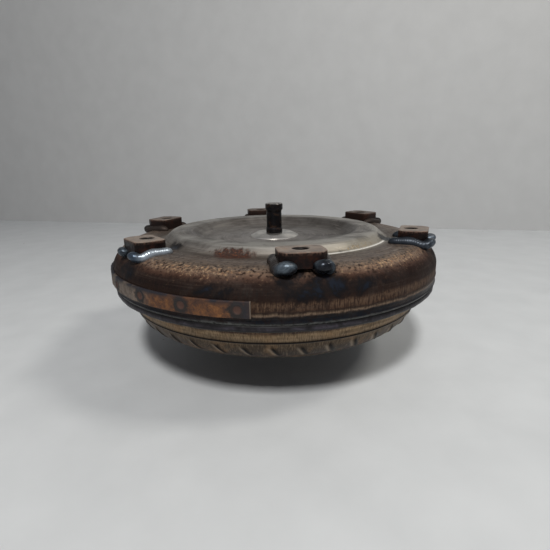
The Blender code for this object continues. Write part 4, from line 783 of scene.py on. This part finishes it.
blued_weld, slate_weld, brushed_weld, burnt_weld = (weld_metal(*made) for made in (
    ("blued_weld", ("#14161B", "#23272E", "#3A424A", "#5A646D", "#2E2826"), 0.24, 0.44, "#3A332F"),
    ("slate_weld", ("#15181C", "#262B31", "#39414A", "#59626C", "#30302E"), 0.30, 0.46, "#2A2F36"),
    ("brushed_weld", ("#2A3440", "#3A4654", "#4A5868", "#66727E", "#38404A"), 0.26, 0.42, "#949CA4"),
    ("burnt_weld", ("#0E0D0E", "#171516", "#221F1F", "#322E2D", "#1C1614"), 0.42, 0.62, "#2E2520"),
))
LUG_WELDS = (blued_weld, slate_weld, burnt_weld, burnt_weld, burnt_weld, blued_weld)
for number, (angle, start, size, metal) in enumerate(zip(LUG_ANGLES, BEAD_STARTS, BEAD_SIZES, LUG_WELDS), 1):
    for side, word in ((-1, "right"), (1, "left")):
        weld = bead(f"lug_weld_{number}_{word}", angle, side, start, size, number + side)
        weld.data.materials.append(brushed_weld if (number, word) == (6, "left") else metal)
        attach(weld, "housing")


# The balance strip: a bent strip of sheet steel, spot-welded on the wall to balance the
# converter. It is orange with flash rust at its near end, grey-brown further round, and
# dark round each spot.

strip_low, strip_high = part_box("balance_strip")
STRIP_TOP, STRIP_BOTTOM = strip_high.z, strip_low.z
STRIP_BACK, STRIP_FRONT = 0.0002, 0.0018
STRIP_START = math.radians(-96)
STRIP_SWEEP = math.radians(-92)
SPOT_DEEP, SPOT_RIM_HIGH = 0.0006, 0.00022
SPOTS = [math.radians(-99.2 - 15.2 * k) for k in range(6)]


def strip_grid():
    """A closed loop of section points carried round the wall; each spot is a shallow dent with a rim.

    With the points come the distance of each from the nearest spot and its share of the sweep.
    """
    along = np.linspace(0, 1, 420)[:, None]
    angle = STRIP_START + STRIP_SWEEP * along
    half, middle = (STRIP_TOP - STRIP_BOTTOM) / 2, (STRIP_TOP + STRIP_BOTTOM) / 2
    back, front = STRIP_BACK, STRIP_FRONT
    line = filleted([(back, -half, 0), (front, -half, 0.0004), (front, half, 0.0004), (back, half, 0)], 4)
    line = divided(line, 0.0005)
    out, up = line[None, :, 0], line[None, :, 1]
    gaps = np.stack([np.hypot((angle - centre) * COVER_RADIUS, up) for centre in SPOTS])
    sunk, raised = np.exp(-(gaps / 0.0022) ** 4), np.exp(-((gaps - 0.0030) / 0.0006) ** 2)
    dent = np.sum(SPOT_RIM_HIGH * raised - SPOT_DEEP * sunk, 0)
    outer = np.clip((out - 0.0008) / 0.0008, 0, 1)
    wave = 0.00012 * np.sin(angle * 37) + 0.00008 * np.sin(angle * 90 + up * 600)
    radius = COVER_RADIUS + out + outer * (dent + wave)
    return carried(radius, angle, middle + up), {"gap": gaps.min(0), "sweep": along}


def flash_rusted_sheet():
    """Plain sheet steel with dry orange rust, grainy at 1 mm, burnt black at its spots and its end."""
    made, tree, place = finish("flash_rusted_sheet", 0.1, 0.7)
    height = add(tree, "SeparateXYZ", {0: place}).outputs[2]
    gap, sweep = (add(tree, "Attribute", attribute_name=key).outputs["Fac"] for key in ("gap", "sweep"))
    cloud = add(tree, "TexNoise", {"Vector": place, "Scale": 240.0, "Detail": 8.0, "Roughness": 0.75})
    big = add(tree, "TexNoise", {"Vector": place, "Scale": 60.0, "Detail": 4.0})
    grain = add(tree, "TexNoise", {"Vector": place, "Scale": 1100.0, "Detail": 3.0})
    orange = add(tree, "ValToRGB", {0: cloud}, stops=(
        (0.30, "#22140F"), (0.45, "#4A2D1B"), (0.56, "#643F21"), (0.70, "#84572F"),
    ))
    grey = add(tree, "ValToRGB", {0: cloud}, stops=(
        (0.32, "#342A25"), (0.48, "#564A41"), (0.60, "#71655B"), (0.72, "#74553F"),
    ))
    far = add(tree, "Math", {0: big, 1: 0.10, 2: sweep}, operation="MULTIPLY_ADD")
    far = add(tree, "MapRange", {0: far, 1: 0.37, 2: 0.45})
    speck = add(tree, "MapRange", {0: grain, 1: 0.40, 2: 0.30, 4: 0.5})
    ragged = add(tree, "Math", {0: cloud, 1: 0.006, 2: -0.003}, operation="MULTIPLY_ADD")
    ragged = add(tree, "Math", {0: gap, 1: ragged}, operation="ADD")
    burnt = add(tree, "MapRange", {0: ragged, 1: 0.0062, 2: 0.0044, 4: 0.94})
    nugget = add(tree, "MapRange", {0: gap, 1: 0.0028, 2: 0.0020, 4: 0.85})
    edge = add(tree, "MapRange", {0: height, 1: STRIP_TOP - 0.0034, 2: STRIP_TOP - 0.0006})
    dirt = add(tree, "MapRange", {0: big, 1: 0.40, 2: 0.50})
    dirt = add(tree, "Math", {0: dirt, 1: edge}, operation="MULTIPLY")
    end = add(tree, "MapRange", {0: sweep, 1: 0.030, 2: 0.014, 4: 0.9})
    dirt = add(tree, "Math", {0: dirt, 1: end}, operation="MAXIMUM")
    sheared = add(tree, "MapRange", {0: sweep, 1: 0.003, 2: 0.001})
    layers = (
        (far, grey), (speck, "#24150F"), (burnt, "#14100F"), (nugget, "#4A3026"), (dirt, "#15121A"),
        (sheared, "#6E6054"),
    )
    bump = add(tree, "Bump", {"Height": cloud, "Strength": 0.5, "Distance": 0.0004})
    return finished(made, orange, layers, Normal=bump)


strip_points, strip_marks = strip_grid()
strip = put("spot_welded_strip", strip_points, (False, True), strip_marks)
strip.data.materials.append(flash_rusted_sheet())
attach(strip, "housing")
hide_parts("balance_strip")


# The closing weld: one machine-laid bead all round, which joins the cover's edge to the
# impeller shell. It is smooth, purple-grey with oxide, and swells and thins a little.

CLOSING_MIDDLE = (0.1262, COVER_EDGE - 0.0019)
CLOSING_HALF = (0.0031, 0.0027)
CLOSING_LEAN = math.radians(-38)


def closing_ring():
    """A leaning oval section carried round; sines of the angle, swept back over it, swell it a little."""
    around, section = angles(1080), angles(24).T
    size = 1 + 0.035 * np.sin(around * 9) + 0.030 * np.sin(around * 23 + 1)
    size = size + 0.020 * np.sin(around * 61 + section)
    size = size + 0.010 * np.sin(around * 270 + 1.1 * np.cos(section - 0.6))
    out = CLOSING_HALF[0] * np.cos(section) * size
    up = CLOSING_HALF[1] * np.sin(section) * size
    c, s = math.cos(CLOSING_LEAN), math.sin(CLOSING_LEAN)
    height = CLOSING_MIDDLE[1] + out * s + up * c
    near = np.exp(-((height - CLOSING_MIDDLE[1] + 0.0004) / 0.0011) ** 2)
    return carried(CLOSING_MIDDLE[0] + out * c - up * s, around, height), {"near": near}


ring_points, ring_marks = closing_ring()
ring = put("closing_bead", ring_points, (True, True), ring_marks)
ring.data.materials.append(weld_metal(
    "purple_weld", ("#1E1B1E", "#2A272A", "#363338", "#46424A", "#241E1D"), 0.38, 0.54, "#0C0A0A",
))
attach(ring, "housing")
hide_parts("closing_weld")


# The impeller shell: the pressed lower half of the housing, a round trough about 2.5 mm thick.
# A groove runs round it, and each of its 40 blades' tabs shows as a short slanted dent.

RING_MIDDLE = 0.0785
SHELL_CENTRE = 0.0590
SHELL_DEEP = 0.0294
SHELL_HALF = 0.0387
SHELL_WALL = 0.0025
SHELL_ROUND = 2 / 2.2
FLANGE_LEVEL = 0.0365
BLADES = 40


def trough(half, deep, first, last, count):
    """The fluid ring's rounded oval between two angles, in degrees from its outer side downwards."""
    angle = np.radians(np.linspace(first, last, count))
    across = np.sign(np.cos(angle)) * np.abs(np.cos(angle)) ** SHELL_ROUND
    return np.c_[RING_MIDDLE + half * across, SHELL_CENTRE - deep * np.abs(np.sin(angle)) ** SHELL_ROUND]


shell_outer = np.vstack([
    filleted([
        (0.1259, COVER_EDGE + 0.0055, 0),
        (0.1259, COVER_EDGE - 0.0010, 0.0020),
        (0.1205, COVER_EDGE - 0.0060, 0.0020),
        (0.1176, COVER_EDGE - 0.0105, 0.0050),
        (0.1172, SHELL_CENTRE - 0.0050, 0),
    ]),
    trough(SHELL_HALF, SHELL_DEEP, 12, 146, 120),
    [(0.0398, FLANGE_LEVEL)],
])
shell_inner = np.vstack([
    [(0.0398, FLANGE_LEVEL + SHELL_WALL)],
    trough(SHELL_HALF - SHELL_WALL, SHELL_DEEP - SHELL_WALL, 146, 4, 40),
    [(0.1166, COVER_EDGE - 0.0050), (0.1234, COVER_EDGE - 0.0006), (0.1234, COVER_EDGE + 0.0055)],
])
outer_points = divided(shell_outer, 0.0012)
shell_line = np.vstack([outer_points, divided(shell_inner, 0.005)])
MARK_LEVEL = 0.0437
MARK_HALF = 0.0056
MARK_WIDE = 0.0014
LIP_WIDE = 0.0010
LIP_ASIDE = 0.0026
GROOVE_LEVEL = 0.0515
GROOVE_WIDE = 0.0008
GROOVE_DEEP, MARK_DEEP, LIP_HIGH = 0.0008, 0.0007, 0.00025
MARK_SLANT = math.radians(28)


def shell_marks(around, line):
    """Where the groove runs and where each tab is pressed in, and the raised lip beside each, which is
    painted bright as a highlight, as numbers.

    A mark is a long oval that leans from the way down by its slant; powers of its long and
    short ways, in an exponential, make it fall off.
    """
    length = lengths(line)[None, :]
    outer = (np.arange(len(line)) < len(outer_points))[None, :]
    down = -line[:len(outer_points), 1]
    half_way = int(np.argmax(down))
    groove_at, mark_at = np.interp((-GROOVE_LEVEL, -MARK_LEVEL), down[:half_way], length[0, :half_way])
    pitch = 2 * math.pi / BLADES
    tangent = ((around / pitch + 0.5) % 1 - 0.5) * pitch * line[None, :, 0]
    long_way = tangent * math.sin(MARK_SLANT) + (length - mark_at) * math.cos(MARK_SLANT)
    short_way = tangent * math.cos(MARK_SLANT) - (length - mark_at) * math.sin(MARK_SLANT)
    body = np.exp(-(long_way / MARK_HALF) ** 6) * outer
    groove = np.exp(-((length - groove_at) / GROOVE_WIDE) ** 2) * outer + 0 * around
    dent = body * np.exp(-(short_way / MARK_WIDE) ** 2)
    return groove, dent, body * np.exp(-((short_way + LIP_ASIDE) / LIP_WIDE) ** 2)


def shell_relief(around, line):
    """The groove and tab dents sunk, and the lips raised."""
    groove, dent, lip = shell_marks(around, line)
    return LIP_HIGH * lip - GROOVE_DEEP * groove - MARK_DEEP * dent


def tanned_shell_steel():
    """Pressed steel browned by heat and old oil: tan with grey smears and soft sheen; painted shade darkens
    its underside, the groove and the dents, and a painted highlight lights each tab's lip.
    """
    made, tree, place = finish("tanned_shell_steel", 0.3, 0.5, 0.15)
    height = add(tree, "SeparateXYZ", {0: place}).outputs[2]
    groove, dent, lip = (
        add(tree, "Attribute", attribute_name=key).outputs["Fac"] for key in ("groove", "dent", "lip")
    )
    cloud = add(tree, "TexNoise", {"Vector": place, "Scale": 70.0, "Detail": 8.0, "Roughness": 0.6})
    drift = add(tree, "Math", {0: cloud, 1: 0.006, 2: -0.003}, operation="MULTIPLY_ADD")
    level = add(tree, "Math", {0: height, 1: drift}, operation="ADD")
    share = add(tree, "MapRange", {0: level, 1: 0.028, 2: 0.072})
    # the lowest stops darken the shell towards its underside: painted shade
    bands = add(tree, "ValToRGB", {0: share}, stops=(
        (0.00, "#16120F"), (0.20, "#1F1915"), (0.34, "#362C24"), (0.50, "#635443"), (0.56, "#988268"),
        (0.65, "#A08768"), (0.69, "#3A2620"), (0.76, "#2C1F1C"), (0.84, "#20242B"),
    ))
    round_place = round_map(tree, place, height)
    smear_place = add(tree, "Mapping", {0: round_place, 3: (5.0, 5.0, 420.0)})
    smears = add(tree, "TexNoise", {"Vector": smear_place, "Scale": 1.0, "Detail": 5.0})
    shade = add(tree, "ValToRGB", {0: smears}, stops=((0.36, 0.5), (0.60, 0.0)))
    hatch_place = add(tree, "Mapping", {0: round_place, 3: (190.0, 190.0, 260.0)})
    hatch = add(tree, "TexNoise", {"Vector": hatch_place, "Scale": 1.0, "Detail": 4.0, "Roughness": 0.7})
    dark_hatch = add(tree, "MapRange", {0: hatch, 1: 0.52, 2: 0.38, 4: 0.6})
    pale_hatch = add(tree, "MapRange", {0: hatch, 1: 0.54, 2: 0.68, 4: 0.4})
    stain = add(tree, "MapRange", {0: cloud, 1: 0.52, 2: 0.68, 4: 0.45})
    # painted shade in the groove and the tab dents, and a painted highlight on the raised lip beside each
    sunk = add(tree, "Math", {0: groove, 1: dent}, operation="MAXIMUM")
    sunk = add(tree, "Math", {0: sunk, 1: 1.3}, operation="MULTIPLY", use_clamp=True)
    rubbed = add(tree, "Math", {0: lip, 1: 0.55}, operation="MULTIPLY")
    layers = (
        (shade, "#41362C"), (dark_hatch, "#2C221B"), (pale_hatch, "#A8937A"), (stain, "#9A7A5A"),
        (sunk, "#16110F"), (rubbed, "#9C8C78"),
    )
    rough = add(tree, "MapRange", {0: cloud, 1: 0.3, 2: 0.7, 3: 0.38, 4: 0.62})
    fine = add(tree, "TexNoise", {"Vector": place, "Scale": 800.0, "Detail": 4.0})
    bump = add(tree, "Bump", {"Height": fine, "Strength": 0.25, "Distance": 0.0003})
    return finished(made, bands, layers, Roughness=rough, Normal=bump)


SHELL_SIDES = 1080
shell_finish = tanned_shell_steel()
shell_attributes = dict(zip(("groove", "dent", "lip"), shell_marks(angles(SHELL_SIDES), shell_line)))
shell = turned("pressed_shell", shell_line, SHELL_SIDES, shell_attributes, shell_relief)
shell.data.materials.append(shell_finish)
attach(shell, "housing")
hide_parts("impeller_shell")


# The pump neck: a ground tube on a flange that is welded into the shell. Two slots across its
# end turn the oil pump. It can't be seen in the photograph.

NECK = 0.0225
NECK_BORE = 0.0198
SLOT_HALF = 0.0040
SLOT_DEEP = 0.0090
NECK_TOP = 0.0400
NECK_FLANGE = (0.0395, 0.0360)


def neck_grid():
    """A turned tube whose foot steps up to the slot's depth where the angle lies within a slot."""
    edge = math.asin(SLOT_HALF / NECK)
    half_turn = np.r_[np.linspace(-edge, edge, 9), np.linspace(edge, math.pi - edge, 70)]
    around = np.r_[half_turn, half_turn + math.pi][:, None]
    foot = np.tile(np.r_[np.full(9, SLOT_DEEP), np.zeros(70)], 2)[:, None]
    flat = np.zeros_like(foot)
    flange, under = NECK_FLANGE
    radii = (NECK_BORE, NECK_BORE + 0.0004, NECK - 0.0010, NECK, NECK, NECK + 0.002, flange, flange,
             NECK_BORE + 0.001, NECK_BORE)
    heights = (foot + 0.0010, foot, foot, foot + 0.0010, flat + under - 0.0020, flat + under, flat + under,
               flat + NECK_TOP, flat + NECK_TOP, flat + NECK_TOP - 0.001)
    return carried(np.array(radii)[None, :], around, np.hstack(heights))


def ground_steel():
    """Cylindrically ground and oiled steel: bright, with fine rings round the axis and brown stains."""
    made, tree, place = finish("ground_steel", 1.0, 0.22)
    cloud = add(tree, "TexNoise", {"Vector": place, "Scale": 90.0, "Detail": 6.0})
    tone = add(tree, "ValToRGB", {0: cloud}, stops=((0.40, "#B8B8B8"), (0.60, "#A39C92")))
    lines = add(tree, "Mapping", {0: place, 3: (12.0, 12.0, 5200.0)})
    line = add(tree, "TexNoise", {"Vector": lines, "Scale": 1.0, "Detail": 2.0})
    bump = add(tree, "Bump", {"Height": line, "Strength": 0.12, "Distance": 0.00005})
    return finished(made, tone, Normal=bump)


ground = ground_steel()
neck = put("pump_neck", neck_grid(), (True, True))
neck.data.materials.append(ground)
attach(neck, "housing")
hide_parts("impeller_hub")


# What the housing holds: the wheels, damper, lock-up clutch, stator and bearings keep their
# solids, and take finishes of oiled sheet, cast aluminium, bearing and spring steel, friction
# paper and polymer.


def oiled_sheet():
    """Cold-rolled sheet, pressed and oiled: grey, with faint clouds of oil film."""
    made, tree, place = finish("oiled_sheet", 0.95, 0.36)
    cloud = add(tree, "TexNoise", {"Vector": place, "Scale": 80.0, "Detail": 6.0})
    return finished(made, add(tree, "ValToRGB", {0: cloud}, stops=((0.35, "#8C8E92"), (0.65, "#7A7468"))))


def speckled(name, metallic, roughness, dark, light, scale, depth):
    """A cast, moulded or tempered finish: two tones of a fine noise, which also lifts it a little."""
    made, tree, place = finish(name, metallic, roughness)
    cloud = add(tree, "TexNoise", {"Vector": place, "Scale": scale, "Detail": 5.0})
    tone = add(tree, "ValToRGB", {0: cloud}, stops=((0.35, dark), (0.65, light)))
    bump = add(tree, "Bump", {"Height": cloud, "Strength": 0.3, "Distance": depth})
    return finished(made, tone, Normal=bump)


finishes = {
    "pressed_sheet": oiled_sheet(),
    "tanned_shell": shell_finish,
    "ground_steel": ground,
    "cast_aluminium": speckled("cast_aluminium", 0.9, 0.5, "#A9ABAD", "#BFC0C1", 600.0, 0.0002),
    "bearing_steel": speckled("bearing_steel", 1.0, 0.16, "#C2C3C5", "#B4B3B0", 60.0, 0.00002),
    "spring_steel": speckled("spring_steel", 0.9, 0.3, "#3E4450", "#565A60", 90.0, 0.00003),
    "rivet_steel": speckled("rivet_steel", 0.9, 0.35, "#8A8A8A", "#9C9890", 150.0, 0.00005),
    "seal_polymer": speckled("seal_polymer", 0.0, 0.5, "#2A2724", "#37322C", 300.0, 0.00005),
    "friction_paper": speckled("friction_paper", 0.0, 0.9, "#4A3626", "#5C452F", 1500.0, 0.0002),
}
slot_of = {entry["node"]: entry["material_slot"] for entry in frame["record"]["subparts"]}
for name, solid in frame["nodes"].items():
    if slot_of[name] in finishes:
        solid.data.materials.clear()
        solid.data.materials.append(finishes[slot_of[name]])
